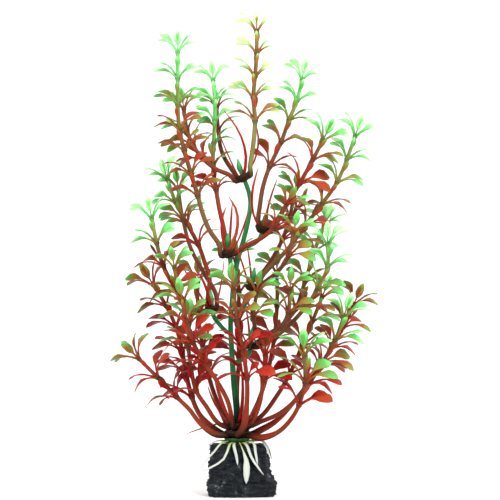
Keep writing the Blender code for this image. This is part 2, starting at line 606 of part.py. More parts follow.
def make_arm(arm, joints, collection, finish):
    """A square stem that swells at each joint, with the joint's faces drawn out to leaves."""
    points = arm_points(arm)
    tangents = arm_tangents(arm, points)
    leaves_at = {step: (turn, leaves) for step, turn, leaves in joints}
    shape = bmesh.new()

    def ring(centre, tangent, turn, radius):
        return [centre + outward(tangent, turn + 90 * side) * radius for side in range(4)]

    rings = []
    first_turn = joints[0][1] if joints else 0
    for step, (point, tangent) in enumerate(zip(points, tangents)):
        radius = arm_radius(arm, step)
        if step not in leaves_at:
            rings.append((ring(point, tangent, first_turn, radius), None))
            continue
        turn = leaves_at[step][0]
        half = tangent * JOINT_HALF_HEIGHT
        rings.append((ring(point - half, tangent, turn, radius * JOINT_SWELL), None))
        rings.append((ring(point + half, tangent, turn, radius * 0.9), step))

    roots = {}
    before = [shape.verts.new(place) for place in rings[0][0]]
    shape.faces.new(before)
    for places, joint_step in rings[1:]:
        after = [shape.verts.new(place) for place in nearest_turn(before, places)]
        walls = [shape.faces.new((before[i - 1], before[i], after[i], after[i - 1]))
                 for i in range(4)]
        if joint_step is not None:
            roots[joint_step] = walls
        before = after
    tip_face = shape.faces.new(before)
    bud = bud_line(arm, points[-1], tangents[-1])
    across = tangents[-1].cross(outward(tangents[-1], BUD_TURN)).normalized()
    width = arm.leaf * BUD_SHARE * BUD_SLENDERNESS
    sections = strip_sections(bud, [width], LEAF_THICKNESS, across)
    grow(shape, tip_face, sections, bud[-1])
    for step, (turn, leaves) in leaves_at.items():
        tangent = tangents[step]
        for leaf in leaves:
            if leaf is None:
                continue
            line = leaf_line(points[step], tangent, arm_radius(arm, step), leaf)
            face = facing(shape, outward(tangent, leaf.turn), points[step], roots[step])
            roots[step].remove(face)
            sections = leaf_sections(line, tangent, leaf.turn, leaf.length)
            if step == len(points) - 1:
                sections = sections[1:]
            grow(shape, face, sections, line[3])
    mesh = mesh_from(shape, arm.name)
    return add_object(arm.name, mesh, collection, finish)


def nearest_turn(verts, places):
    """The next section's corners, starting from the one that twists the shape least."""
    def travel(order):
        return sum((vert.co - place).length for vert, place in zip(verts, order))

    return min((places[i:] + places[:i] for i in range(4)), key=travel)


def make_ring(name, ring, strands, collection, finish):
    """A ring on its peg, with thin strands drawn out of its sloping top."""
    shape = turned_ring(ring.radius, ring.bore, RING_HEIGHT, RING_SIDES)
    slopes = [face for face in shape.faces
              if face.normal.z > 0.2 and face.normal.z < 0.99]
    centre = Vector((ring.x, ring.y, ring.z))
    leaning = Matrix.Rotation(math.radians(ring.lean), 3, "Y")
    for vert in shape.verts:
        vert.co = centre + leaning @ (vert.co - UP * RING_HEIGHT / 2)
    for strand in strands:
        out = heading(strand.side)
        face = facing(shape, out, centre, slopes)
        slopes.remove(face)
        root, bend, tip = strand_line(ring, strand)
        across = UP.cross(out).normalized()
        sections = strip_sections([root, bend, tip], [strand.width], STRAND_THICKNESS, across)
        grow(shape, face, sections, tip)
    return add_object(name, mesh_from(shape, name), collection, finish)


def make_roots(collection, finish):
    """The root skirt: a ring round the stem's foot, with roots over the base's rim."""
    shape = turned_ring(ROOT_RING_RADIUS, TRUNK_RADIUS + TRUNK_BORE_CLEAR, ROOT_RING_HEIGHT,
                        ROOT_RING_SIDES)
    foot = Vector((STEM_X, 0, BASE_HEIGHT + GAP))
    bmesh.ops.translate(shape, verts=shape.verts[:], vec=foot)
    walls = [face for face in shape.faces if abs(face.normal.z) < 0.2
             and face.normal.dot(face.calc_center_median() - foot) > 0]
    for root in ROOTS:
        out = heading(root.side)
        face = facing(shape, out, foot, walls)
        walls.remove(face)
        line = root_line(root)
        sections = []
        for before, here, after, point in zip(line, line[1:], line[2:], root.points):
            across = root_across(after - before, here)
            sections += strip_sections([before, here, after], [point[3]], ROOT_THICKNESS, across)
        grow(shape, face, sections, line[-1])
    return add_object("root_skirt", mesh_from(shape, "root_skirt"), collection, finish)


def cut_cube(cells):
    """The skin of a cube from -0.5 to 0.5, each side cut into cells, in a fixed order."""
    shape = bmesh.new()
    corners = {}
    for axis in range(3):
        for level in (0, cells):
            for i in range(cells):
                for j in range(cells):
                    face = []
                    for place in ([i, j], [i + 1, j], [i + 1, j + 1], [i, j + 1]):
                        place.insert(axis, level)
                        key = tuple(place)
                        if key not in corners:
                            corners[key] = shape.verts.new([n / cells - 0.5 for n in key])
                        face.append(corners[key])
                    shape.faces.new(face)
    return shape


def make_base(collection, finish):
    """A rough cast block: flat underneath, lumpy sides, and a level top round the stem."""
    shape = cut_cube(BASE_CELLS)
    for vert in shape.verts:
        height = vert.co.z + 0.5
        spot = base_place(vert.co.x, vert.co.y, height)
        lump = base_lump(spot)
        near_stem = (spot - Vector((STEM_X, 0, BASE_HEIGHT))).length < LEVEL_RADIUS
        if height < 0.01 or near_stem:
            lump.z = 0
        elif height > 0.99:
            lump.z = min(lump.z, 0)
        vert.co = spot + lump
    return add_object("stone_base", mesh_from(shape, "stone_base"), collection, finish)


def make_stem(name, points, collection, finish):
    """A round stem piece through (x, y, z, radius) points."""
    curve = bpy.data.curves.new(name, "CURVE")
    curve.dimensions = "3D"
    curve.bevel_depth = MM
    curve.bevel_resolution = 1
    curve.use_fill_caps = True
    spline = curve.splines.new("POLY")
    spline.points.add(len(points) - 1)
    for point, (x, y, z, radius) in zip(spline.points, points):
        point.co = (x * MM, y * MM, z * MM, 1)
        point.radius = radius
    curve.materials.append(finish)
    new = bpy.data.objects.new(name, curve)
    collection.objects.link(new)
    return new


# Build

def main():
    for old in list(bpy.data.objects):
        bpy.data.objects.remove(old)
    collection = bpy.data.collections.new("aquarium_bacopa")
    bpy.context.scene.collection.children.link(collection)
    stone = material("black_stone", (0.012, 0.013, 0.015), 0.75)
    green = material("green_plastic", (0.02, 0.18, 0.05), 0.45)
    brown = material("brown_plastic", (0.06, 0.025, 0.012), 0.45)
    red = material("red_arm_plastic", (0.25, 0.03, 0.02), 0.42)
    olive = material("olive_arm_plastic", (0.22, 0.14, 0.03), 0.42)
    white = material("white_plastic", (0.75, 0.8, 0.72), 0.4)
    make_base(collection, stone)
    make_roots(collection, white)
    for name, points in STEMS.items():
        make_stem(name, points, collection, green)
    for name, ring in RINGS.items():
        make_ring(name + "_ring", ring, STRANDS[name], collection, brown)
    placed = place_leaves(Room())
    for arm in ARMS:
        is_low = arm.ring in ("foot_lower", "foot_upper", "middle")
        make_arm(arm, placed[arm.name], collection, red if is_low else olive)


main()
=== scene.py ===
"""The looks of the artificial aquarium bacopa: leafy arms, stem, rings, roots and stone base.

Lengths are in millimetres until a piece is finished. The plant's layout is the one of its
solids, from the same named values, so each piece stays where its solid is.
"""
import math
from collections import namedtuple

import bmesh
import bpy
from mathutils import Matrix, Vector, noise
from mathutils.bvhtree import BVHTree
from mathutils.kdtree import KDTree


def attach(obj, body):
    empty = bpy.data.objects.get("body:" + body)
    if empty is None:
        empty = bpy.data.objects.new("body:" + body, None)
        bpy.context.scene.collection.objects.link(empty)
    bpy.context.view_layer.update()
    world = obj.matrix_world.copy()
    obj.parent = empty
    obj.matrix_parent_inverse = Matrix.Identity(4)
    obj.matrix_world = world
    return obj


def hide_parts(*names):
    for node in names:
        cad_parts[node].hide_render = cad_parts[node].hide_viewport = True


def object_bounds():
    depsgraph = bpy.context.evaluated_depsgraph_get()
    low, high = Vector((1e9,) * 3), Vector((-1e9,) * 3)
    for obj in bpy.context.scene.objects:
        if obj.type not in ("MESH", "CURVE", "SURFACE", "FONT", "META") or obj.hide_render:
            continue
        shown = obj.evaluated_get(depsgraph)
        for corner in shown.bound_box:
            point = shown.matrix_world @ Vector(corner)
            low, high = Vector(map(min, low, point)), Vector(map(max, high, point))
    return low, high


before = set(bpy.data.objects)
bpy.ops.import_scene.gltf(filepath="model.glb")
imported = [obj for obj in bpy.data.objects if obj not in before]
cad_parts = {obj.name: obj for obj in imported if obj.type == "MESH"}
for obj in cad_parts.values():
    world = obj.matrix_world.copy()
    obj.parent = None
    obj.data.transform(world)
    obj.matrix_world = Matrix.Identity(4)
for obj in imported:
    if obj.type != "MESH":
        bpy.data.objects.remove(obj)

CAD_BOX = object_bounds()

# Camera: the photo's frame is 500 px wide and high
PHOTO_SIDE = 500
MM_PER_PIXEL = 0.615
PHOTO_CENTRE_PIXEL = 250
ORIGIN_PIXEL_X = 242          # where the base's centre stands in the photo
GROUND_PIXEL_Y = 495          # where its underside stands
CAMERA_DISTANCE = 1600.0
CAMERA_SEES = 20             # metres

MM = 0.001
UP = Vector((0, 0, 1))
RIGHT = Vector((1, 0, 0))

# Fits
GAP = 0.35                   # between two pieces that touch
CLEAR = 0.3                  # spare room round a leaf, each way
TRUNK_BORE_CLEAR = 0.6       # between the trunk and what is threaded on it
PEG_BORE_CLEAR = 0.5

# Base and roots
BASE_WIDTH = 41.6
BASE_DEPTH = 36.0
FRONT_SLOPE = 0.42           # how far the front leans back, over half the depth
BACK_SLOPE = 0.2
BASE_HEIGHT = 31.0
LEFT_TAPER = (0.10, 1.2)     # how far the top draws in, and how late up the side
RIGHT_TAPER = (0.37, 1.15)
CORNER_SHRINK = 0.12
BASE_ROUGHNESS = 0.9         # how far a lump stands out
LUMP_FINENESS = 0.11
NOISE_SHIFTS = ((9.3, -1.5, -7.9), (-3.1, 17.4, 5.2), (21.7, 8.8, -13.6))
ROOT_RING_HEIGHT = 3.0
ROOT_RING_RADIUS = 6.0
ROOT_THICKNESS = 1.2
ROOT_START = 0.3             # how far up its ring a root starts, over the ring's height
ROOT_CENTRE = 0.4            # how far up the base the roots bend round, over its height

# Stem and rings
STEM_X = -3.0
TRUNK_RADIUS = 2.1
PEG_RADIUS = 1.4
RING_HEIGHT = 4.4
RING_RADIUS = 3.7
STRAND_START = (0.8, 0.35)   # out and up from its ring's middle, over its radius and height

# Arms and leaves
ARM_FOOT_RADIUS = 1.85       # to the corners of its square section
LOW_ARM_FOOT_RADIUS = 2.0    # of the arms that grow from the lowest ring
LOW_ARM_BULGE = 0.35         # they are thickest a little way out
ARM_TOP_RADIUS = 1.35
JOINT_SWELL = 1.55           # a joint's radius over the arm's
JOINT_HALF_HEIGHT = 1.1
ARM_DROP = 0.4               # below its ring's middle
STRAND_THICKNESS = 1.0
LEAF_SLENDERNESS = 0.41      # width over length
LEAF_ROLL = 20.0             # degrees that a blade turns about its own length
LEAF_THICKNESS = 0.8
STALK_WIDTH = 1.1
TOP_SHRINK = 0.22            # how much shorter an arm's last leaves are
TOP_LIFT = 0.15              # how far the last leaves stand up
BUD_SHARE = 0.72             # the leaf at the tip over the arm's other leaves
BUD_SLENDERNESS = 0.32
BUD_TURN = 90.0              # its broad face looks forwards
BUD_WIDEST = 0.55            # how far along it is widest
BUD_LEANS = (0.1, 0.04)      # how far its widest place and its tip stand aside
WHORL_TURN = 7               # degrees that every third whorl is turned, each way

# A leaf's stalk end, widest place and tip: (out, up) from its joint, over its length, and
# what a lift of 1 adds to each
LEAF_PLACES = ((0.28, 0.24), (0.62, 0.36), (0.98, 0.28))
LEAF_LIFTS = ((-0.1, 0.3), (-0.25, 0.65), (-0.5, 1.0))

# The rings: where each stands, how wide it is, and how far it leans right, in degrees
Ring = namedtuple("Ring", "x y z radius bore lean")
RINGS = {
    "foot_lower": Ring(STEM_X, 0, 37.3, 6.0, TRUNK_RADIUS + TRUNK_BORE_CLEAR, 0),
    "foot_upper": Ring(STEM_X, 0, 42.2, 5.0, TRUNK_RADIUS + TRUNK_BORE_CLEAR, 0),
    "middle": Ring(5, -8, 92, RING_RADIUS, PEG_RADIUS + PEG_BORE_CLEAR, 8),
    "left": Ring(-18, -4, 114, RING_RADIUS, PEG_RADIUS + PEG_BORE_CLEAR, -10),
    "right": Ring(6, -8, 128, RING_RADIUS, PEG_RADIUS + PEG_BORE_CLEAR, 8),
    "upper_left": Ring(-8, -5, 148, RING_RADIUS, PEG_RADIUS + PEG_BORE_CLEAR, -12),
    "upper_right": Ring(12.5, -6, 163, RING_RADIUS, PEG_RADIUS + PEG_BORE_CLEAR, 14),
    "crown": Ring(1, 0, 195, RING_RADIUS, PEG_RADIUS + PEG_BORE_CLEAR, -22),
}

# The arms. "side" is the heading in degrees at the ring: 0 is right, 90 back, 270 front.
# "reach" is how far back (+) or forward (-) of its ring the tip stands. "bare" counts the
# points before the first joint. The route is (x, z) as seen from the front.
Arm = namedtuple("Arm", "name ring side reach bare leaf route")
ARMS = [
    Arm("crown_leader_arm", "crown", 340, -7, 2, 20.0,
        [(5, 202), (7, 216), (8, 230), (7, 244), (8, 257), (9, 271), (9, 284.5)]),
    Arm("crown_left_arm", "crown", 190, 9, 2, 19.5,
        [(-8, 197), (-16, 200.5), (-24, 207), (-30, 215), (-34, 225), (-36, 238)]),
    Arm("crown_back_arm", "crown", 110, 32, 2, 17.5,
        [(-8, 203), (-13, 213), (-15, 226), (-16, 240)]),
    Arm("upper_right_tall_arm", "upper_right", 95, 16, 3, 19.5,
        [(10, 168), (11, 178), (13, 190), (17, 202), (24, 217), (29, 231), (34, 243), (37, 256)]),
    Arm("upper_right_front_arm", "upper_right", 330, -18, 2, 22.0,
        [(20, 167), (27, 178), (35, 191), (43, 205.5), (49, 217)]),
    Arm("upper_right_low_arm", "upper_right", 30, 22, 2, 18.0,
        [(21, 163.5), (28, 167), (34, 177)]),
    Arm("upper_left_tall_arm", "upper_left", 190, -14, 3, 19.5,
        [(-14, 154), (-20, 163), (-24, 173), (-27, 184), (-31, 197), (-35, 211), (-38, 224),
         (-39, 239), (-39, 255), (-39, 271)]),
    Arm("upper_left_back_arm", "upper_left", 120, 20, 3, 18.0,
        [(-10, 156), (-11.5, 165), (-14, 176), (-16, 188), (-18, 203), (-17.5, 217), (-17, 231),
         (-17, 243), (-18, 256)]),
    Arm("upper_left_crossing_arm", "upper_left", 315, -18, 2, 18.0,
        [(2, 153), (12, 158), (20, 165), (27, 178)]),
    Arm("left_tall_arm", "left", 130, 12, 3, 19.5,
        [(-21, 121), (-20, 133), (-23, 143), (-27, 154), (-34, 167), (-41, 180), (-46, 194)]),
    Arm("left_outer_arm", "left", 195, -10, 2, 20.0,
        [(-25, 114), (-32, 117), (-40, 126), (-48, 141), (-52, 155), (-55, 170)]),
    Arm("left_front_arm", "left", 250, -15, 2, 19.0,
        [(-25, 113.5), (-32, 115.5), (-38, 124), (-41, 140)]),
    Arm("left_back_arm", "left", 70, 30, 3, 19.0,
        [(-16, 123), (-24, 137), (-32, 152), (-37, 170), (-40, 189)]),
    Arm("right_long_arm", "right", 0, -6, 3, 20.5,
        [(12, 134), (19, 142), (25, 148), (31, 155), (39, 166), (49, 179), (58, 192), (64, 206),
         (69, 220)]),
    Arm("right_front_arm", "right", 310, -30, 2, 19.0,
        [(15, 132), (22, 138), (28, 147), (31, 161)]),
    Arm("right_back_arm", "right", 60, 44, 2, 19.0,
        [(11, 134), (18, 144), (25, 157), (30, 172), (33, 188)]),
    Arm("middle_outer_arm", "middle", 15, -12, 3, 20.5,
        [(13, 95), (22, 99), (30, 106), (38, 115), (46, 127), (52, 140.5), (52, 154)]),
    Arm("middle_back_arm", "middle", 75, 26, 2, 20.0,
        [(13, 97), (24, 104), (33, 114), (39, 131), (45, 150), (51, 166)]),
    Arm("middle_front_arm", "middle", 255, -22, 2, 19.0,
        [(6, 96), (8, 101), (7, 111), (9, 125)]),
    Arm("middle_right_arm", "middle", 318, -24, 2, 19.5,
        [(15, 96), (23, 103), (28, 113), (29, 127)]),
    Arm("foot_left_tall_arm", "foot_lower", 160, 12, 2, 23.0,
        [(-18, 41), (-26, 49), (-31, 60), (-34.5, 74), (-37, 88), (-41, 103), (-47, 116),
         (-55, 129)]),
    Arm("foot_left_low_arm", "foot_lower", 200, -14, 3, 21.0,
        [(-17, 38), (-26, 45), (-32, 53), (-40, 61), (-51.5, 73), (-63, 84.5)]),
    Arm("foot_left_front_arm", "foot_upper", 205, -18, 2, 22.5,
        [(-15, 45), (-21.5, 54.5), (-28, 65), (-31, 79), (-32.5, 92), (-32, 106)]),
    Arm("foot_left_back_arm", "foot_upper", 245, -34, 3, 22.0,
        [(-6, 46), (-8.5, 58), (-14.5, 70), (-22, 82), (-29.5, 95), (-33, 107), (-35.5, 119)]),
    Arm("foot_right_front_arm", "foot_lower", 335, -34, 3, 24.5,
        [(12, 36), (21.5, 39.5), (29, 47), (34.5, 57), (38, 71), (37.5, 87)]),
    Arm("foot_right_tall_arm", "foot_lower", 18, 8, 3, 20.5,
        [(12, 40), (22.5, 46.5), (32, 57), (40.5, 68), (47.5, 78), (55, 90), (62.5, 103),
         (69, 117)]),
    Arm("foot_right_back_arm", "foot_upper", 45, 30, 2, 22.0,
        [(12, 48), (21.5, 60), (30, 74), (37.5, 91), (44, 106), (50, 121)]),
    Arm("foot_right_middle_arm", "foot_upper", 355, -15, 3, 22.5,
        [(12, 45.5), (23, 50.5), (33, 59), (41, 69), (49, 82), (57, 96), (62, 110)]),
    Arm("foot_front_arm", "foot_lower", 268, -38, 2, 22.5,
        [(1, 43), (3, 57), (3, 73), (0.5, 91), (-3, 109.5), (-5, 127)]),
    Arm("foot_front_right_arm", "foot_upper", 300, -24, 2, 22.5,
        [(6, 46), (10.5, 56), (13, 71), (14, 87)]),
    Arm("foot_back_left_arm", "foot_lower", 120, 46, 2, 22.5,
        [(-9, 43), (-15, 55), (-21, 72), (-25, 91), (-28, 111), (-28, 131)]),
    Arm("foot_back_right_arm", "foot_lower", 60, 48, 2, 22.5,
        [(4, 43), (10, 56), (16, 74), (20, 94), (22, 115), (22, 136)]),
    Arm("foot_back_arm", "foot_upper", 90, 30, 2, 21.5,
        [(-3, 50), (-3, 66), (-2, 84), (-3, 104), (-2, 124), (-4, 144)]),
]

# Thin strands on each ring: heading in degrees at the ring, width, and where each bends and
# ends, from the ring's centre
Strand = namedtuple("Strand", "side width bend tip")
STRANDS = {
    "foot_lower": [],
    "foot_upper": [Strand(150, 1.2, (-12, 0, 1.5), (-31, 0, -4.5)),
                   Strand(180, 2.2, (-12, -2.5, 11), (-18, -4, 25)),
                   Strand(225, 2.2, (-8.5, -4.5, 13), (-14, -5, 31)),
                   Strand(285, 1.8, (3.5, -9, 20), (2, -10, 44)),
                   Strand(312, 1.8, (13, -9, 15), (14, -11, 36)),
                   Strand(30, 1.5, (12, 5, 12), (17, 8, 27))],
    "middle": [Strand(100, 1.1, (-1, 7, 13), (-3, 12, 25)),
               Strand(205, 1.1, (-7, -3, 12), (-12, -6, 24))],
    "left": [Strand(325, 1.2, (5, -4, 15), (7, -5, 30)),
             Strand(265, 1.3, (-4.5, -7, 15), (-9.5, -9, 24)),
             Strand(215, 1.4, (-10.5, -7, 14), (-18, -9, 26))],
    "right": [Strand(100, 1.1, (-1, 7, 13), (-3, 10, 26)),
              Strand(215, 1.1, (-5, -4, 12), (-9, -7, 24))],
    "upper_left": [Strand(85, 1.2, (1, 6, 17), (2, 9, 32)),
                   Strand(235, 1.3, (-4.5, -5, 17), (-1.5, -6, 29)),
                   Strand(268, 1.5, (5.5, -6, 20), (0, -8, 35)),
                   Strand(15, 1.2, (7.5, 0.5, 13), (12, 0, 27))],
    "upper_right": [Strand(205, 1.8, (-6.5, -4, 17), (-2.5, -6, 38)),
                    Strand(285, 1.2, (4, -6, 16), (9, -9, 31))],
    "crown": [Strand(25, 1.3, (8.5, 5, 17), (7.5, 7, 34)),
              Strand(160, 1.2, (-9.5, 4, 14), (-16, 6, 30)),
              Strand(285, 1.4, (0, -5, 21), (-12, -7, 41))],
}

# Roots: heading in degrees at the ring, and (x, y, z, width) along each to its tip. They lie
# over the base's top and down its sloping front.
Root = namedtuple("Root", "side points")
ROOTS = [
    Root(165, [(-12.5, -1.5, 33.8, 2.0), (-18.6, -6.5, 32.4, 1.9), (-20.6, -8.5, 27.5, 1.2)]),
    Root(195, [(-12, -9.8, 33.3, 2.0), (-17, -13.6, 27.6, 1.9), (-21.8, -14.6, 22.5, 1.7),
               (-25.2, -14.6, 17.2, 1.1)]),
    Root(225, [(-7.6, -11.8, 31.8, 2.0), (-11, -15, 23.5, 1.9), (-19, -16.8, 18.3, 1.7),
               (-25, -17.8, 15.8, 1.1)]),
    Root(255, [(-5, -11.6, 31.6, 2.2), (-3.4, -14.2, 25, 2.2), (-2.5, -15.2, 19.5, 1.7)]),
    Root(285, [(-0.8, -11.8, 31.6, 2.1), (2.6, -14.8, 22.5, 1.9), (2.8, -16.8, 15.5, 4.2),
               (2.6, -17.9, 8.5, 1.2)]),
    Root(315, [(2.8, -11.4, 31.8, 2.3), (6.2, -14.4, 23.5, 2.0), (13.2, -17, 13.8, 1.2)]),
    Root(345, [(7, -10.6, 33, 2.3), (8.4, -14, 26.5, 2.3), (9.6, -15.4, 19.6, 1.6)]),
    Root(15, [(9.5, -2.5, 33.8, 2.4), (14, -6.5, 32.4, 3.2), (16.8, -8.5, 24.5, 1.8)]),
    Root(45, [(11.5, 9, 33.4, 2.3), (16.2, 10.5, 28.5, 2.2), (18.4, 11, 21, 1.9)]),
    Root(105, [(-6, 16.8, 32.5, 2.1), (-8, 18.2, 25, 1.9), (-9, 19.2, 16, 1.2)]),
    Root(75, [(1.5, 16.6, 32.5, 2.1), (3.5, 18.2, 26, 1.9), (6, 19, 19, 1.2)]),
]

# The green stem, split at its forks: (x, y, z, radius) along each piece
STEMS = {
    "trunk_stem": [
        (STEM_X, 0, BASE_HEIGHT + GAP, 2.1), (STEM_X, 0, 46, 2.1), (-3.4, 0, 55, 2.1),
        (-4.4, 0, 64, 2.0), (-5.6, 0, 77, 1.8), (-6.5, 0, 92, 1.6), (-7, 0, 106, 1.6),
        (-6, 0, 120, 1.6), (-5, 0, 132, 1.6), (-4, 0, 138, 1.6)],
    "middle_peg": [
        (-3.2, -1.6, 82, 1.3), (1, -5, 84, 1.3), (4.5, -8, 88.2, PEG_RADIUS),
        (5.5, -8, 95.5, PEG_RADIUS), (6, -8, 99, 1.75), (6.8, -8, 104, 0.6)],
    "left_peg": [
        (-9.2, -0.6, 100, 1.4), (-13, -2, 104, 1.3), (-17.3, -4, 110, PEG_RADIUS),
        (-18.6, -4, 117.5, PEG_RADIUS), (-19, -4, 121, 1.75), (-19.2, -4, 126, 0.6)],
    "right_peg": [
        (-4.4, -1.4, 110, 1.4), (1, -5, 116, 1.3), (5.4, -8, 124, PEG_RADIUS),
        (6.5, -8, 131.5, PEG_RADIUS), (7, -8, 135, 1.75), (7.8, -8, 140, 0.6)],
    "upper_left_peg": [
        (-7.0, -1.6, 134, 1.3), (-7.2, -3.6, 139, 1.3), (-7.1, -5, 143.8, PEG_RADIUS),
        (-8.8, -5, 151.8, PEG_RADIUS), (-9, -5, 155.5, 1.75), (-8.4, -5, 161, 0.6)],
    "leader_stem": [
        (-3.9, 0, 138 + GAP, 1.6), (-2, 0, 147, 1.6), (1, 1, 157, 1.5), (4, 2, 170, 1.5),
        (5.2, 2, 180, 1.5), (4.1, 1, 186.5, 1.4), (2.5, 0, 191.3, PEG_RADIUS),
        (-0.2, 0, 198, PEG_RADIUS), (-1.5, 0, 201.3, 1.75), (-2.6, 0, 206.5, 0.6)],
    "upper_right_peg": [
        (3.6, 0, 153, 1.3), (8, -3, 155, 1.3), (11.5, -6, 159, PEG_RADIUS),
        (13.3, -6, 166.3, PEG_RADIUS), (14.4, -6, 170, 1.75), (15.8, -6, 175, 0.6)],
}


# Layout of the base, the arms and their leaves

def base_place(x, y, height):
    """Where a point of a unit cube stands on the base before it gets its lumps."""
    draw, lateness = LEFT_TAPER if x < 0 else RIGHT_TAPER
    lean = FRONT_SLOPE if y < 0 else BACK_SLOPE
    shrink = 1 - CORNER_SHRINK * abs(2 * x) ** 4 * abs(2 * y) ** 4
    return Vector((x * BASE_WIDTH * (1 - draw * height ** lateness) * shrink,
                   y * BASE_DEPTH * (1 - lean * height) * shrink, height * BASE_HEIGHT))


def noise_at(spot):
    """A direction and size that differ smoothly from place to place, the same in each run."""
    return Vector([noise.noise(spot + Vector(shift)) for shift in NOISE_SHIFTS])


def base_lump(spot):
    """How far the base's main lumps move a point."""
    return noise_at(spot * LUMP_FINENESS) * 2 * BASE_ROUGHNESS


def heading(side):
    """The level direction for a heading in degrees."""
    angle = math.radians(side)
    return Vector((math.cos(angle), math.sin(angle), 0))


def ring_place(ring, side, out, up):
    """A place on or round a ring, which leans with it: out from its axis, and up along it."""
    leaning = Matrix.Rotation(math.radians(ring.lean), 3, "Y")
    return Vector((ring.x, ring.y, ring.z)) + leaning @ (heading(side) * out + UP * up)


def arm_points(arm):
    """The arm's route in three dimensions, from its ring outwards."""
    ring = RINGS[arm.ring]
    start = ring_place(ring, arm.side, ring.radius + GAP, -ARM_DROP)
    seen = [(start.x, start.z)] + list(arm.route)
    lengths = [0.0]
    for (x0, z0), (x1, z1) in zip(seen, seen[1:]):
        lengths.append(lengths[-1] + math.hypot(x1 - x0, z1 - z0))
    tip_y = ring.y + arm.reach
    points = [start]
    for (x, z), length in zip(seen[1:], lengths[1:]):
        share = math.sin(0.5 * math.pi * length / lengths[-1])
        points.append(Vector((x, start.y + (tip_y - start.y) * share, z)))
    return points


def natural_slopes(points):
    """The direction at each point of a line, from its neighbours."""
    slopes = [(points[1] - points[0]).normalized()]
    for before, after in zip(points, points[2:]):
        slopes.append((after - before).normalized())
    slopes.append((points[-1] - points[-2]).normalized())
    return slopes


def arm_tangents(arm, points):
    """The arm's direction at each point. It leaves its ring square to the ring's wall."""
    tangents = natural_slopes(points)
    tangents[0] = (points[0] - ring_place(RINGS[arm.ring], 0, 0, -ARM_DROP)).normalized()
    return tangents


def arm_course(arm):
    """The arm's points and its direction at each of them."""
    points = arm_points(arm)
    return points, arm_tangents(arm, points)


def arm_radius(arm, step):
    """The arm's radius at a step along its points."""
    is_low = arm.ring == "foot_lower"
    foot = LOW_ARM_FOOT_RADIUS if is_low else ARM_FOOT_RADIUS
    radius = foot + (ARM_TOP_RADIUS - foot) * step / len(arm.route)
    if is_low:
        radius *= 1 + LOW_ARM_BULGE * math.sin(math.pi * min(1.0, step / 2))
    return radius


def outward(tangent, turn):
    """The direction square to the arm at a turn in degrees, 0 being towards the right."""
    right = (RIGHT - tangent * RIGHT.dot(tangent)).normalized()
    return Matrix.Rotation(math.radians(turn), 3, tangent) @ right


Leaf = namedtuple("Leaf", "turn length lift")
SIDE_TURNS = (30, 150, 210, 330)
SIDE_LIFTS = (0.22, 0.28, -0.06, 0.02)
TRIAL_TURNS = (0, 10, -10, 20, -20)
TRIAL_LENGTHS = (1.0, 0.85, 0.7, 0.55)
TRIAL_LIFTS = (0.0, 0.18, -0.18)


def leaf_line(centre, tangent, radius, leaf):
    """Stalk root, stalk end, widest place and tip of a leaf: it rises, then arches out."""
    out = outward(tangent, leaf.turn)
    line = [centre + out * radius]
    for (reach, rise), (nearer, higher) in zip(LEAF_PLACES, LEAF_LIFTS):
        line.append(centre + out * (reach + nearer * leaf.lift) * leaf.length
                    + tangent * (rise + higher * leaf.lift) * leaf.length)
    return line


def leaf_sections(line, tangent, turn, length, margin=0.0):
    """Left, right, top and bottom of the leaf at its stalk's end and its widest place."""
    level = tangent.cross(outward(tangent, turn)).normalized()
    sections = []
    for step, width, roll in ((1, STALK_WIDTH, 0), (2, LEAF_SLENDERNESS * length, LEAF_ROLL)):
        along = (line[step + 1] - line[step - 1]).normalized()
        across = Matrix.Rotation(math.radians(roll), 3, along) @ level
        normal = along.cross(across).normalized()
        side = across * (width / 2 + margin)
        half = normal * (LEAF_THICKNESS / 2 + margin)
        sections.append((line[step] - side, line[step] + side, half))
    return sections


def bud_line(arm, point, tangent):
    """Root, widest place and tip of the leaf that stands on an arm's tip."""
    length = arm.leaf * BUD_SHARE
    lean = outward(tangent, BUD_TURN) * length
    return [point + tangent * JOINT_HALF_HEIGHT,
            point + tangent * length * BUD_WIDEST + lean * BUD_LEANS[0],
            point + tangent * length + lean * BUD_LEANS[1]]


SAME_JOINT = 0.6             # blocks of one arm are not tested nearer than this, in steps
BASE_ROOM = (0.6, 0.5)       # the base's room at its foot and top, over its width
STEM_ROOM = 1.2              # over the stem's radius
RING_ROOM = 1.3              # over a ring's
LEAF_START = 0.4             # how far along its stalk a leaf's block starts
BLOCK_TIP = 0.7              # a leaf block's width at its tip, over its stalk's
BUD_ENDS = (1.0, 0.5)        # radii of a bud's block at its root and tip


class Room:
    """What is already filled: small closed meshes with an owner and a step along it."""

    def __init__(self):
        self.blocks = []

    def add(self, block, owner, step):
        self.blocks.append((block, owner, step))

    def is_free(self, block, owner, step):
        centre, reach, tree = block
        for (other_centre, other_reach, other_tree), other_owner, other_step in self.blocks:
            if owner == other_owner and abs(step - other_step) < SAME_JOINT:
                continue
            if (centre - other_centre).length > reach + other_reach:
                continue
            if tree.overlap(other_tree):
                return False
        return True


def loft_block(rings):
    """A closed block through rings of four corners each, for the test of what is filled."""
    corners = [corner for ring in rings for corner in ring]
    faces = [(0, 1, 2, 3)]
    for step in range(len(rings) - 1):
        low = 4 * step
        for side in range(4):
            after = (side + 1) % 4
            faces.append((low + side, low + after, low + 4 + after, low + 4 + side))
    last = len(corners) - 4
    faces.append((last, last + 1, last + 2, last + 3))
    centre = sum(corners, Vector()) / len(corners)
    reach = max((corner - centre).length for corner in corners)
    return centre, reach, BVHTree.FromPolygons(corners, faces)


def rod_block(start, end, start_radius, end_radius):
    """A block round a straight stretch of stem."""
    along = (end - start).normalized()
    aside = along.orthogonal().normalized()
    across = along.cross(aside)
    rings = []
    for centre, radius in ((start, start_radius), (end, end_radius)):
        rings.append([centre + aside * radius, centre + across * radius,
                      centre - aside * radius, centre - across * radius])
    return loft_block(rings)


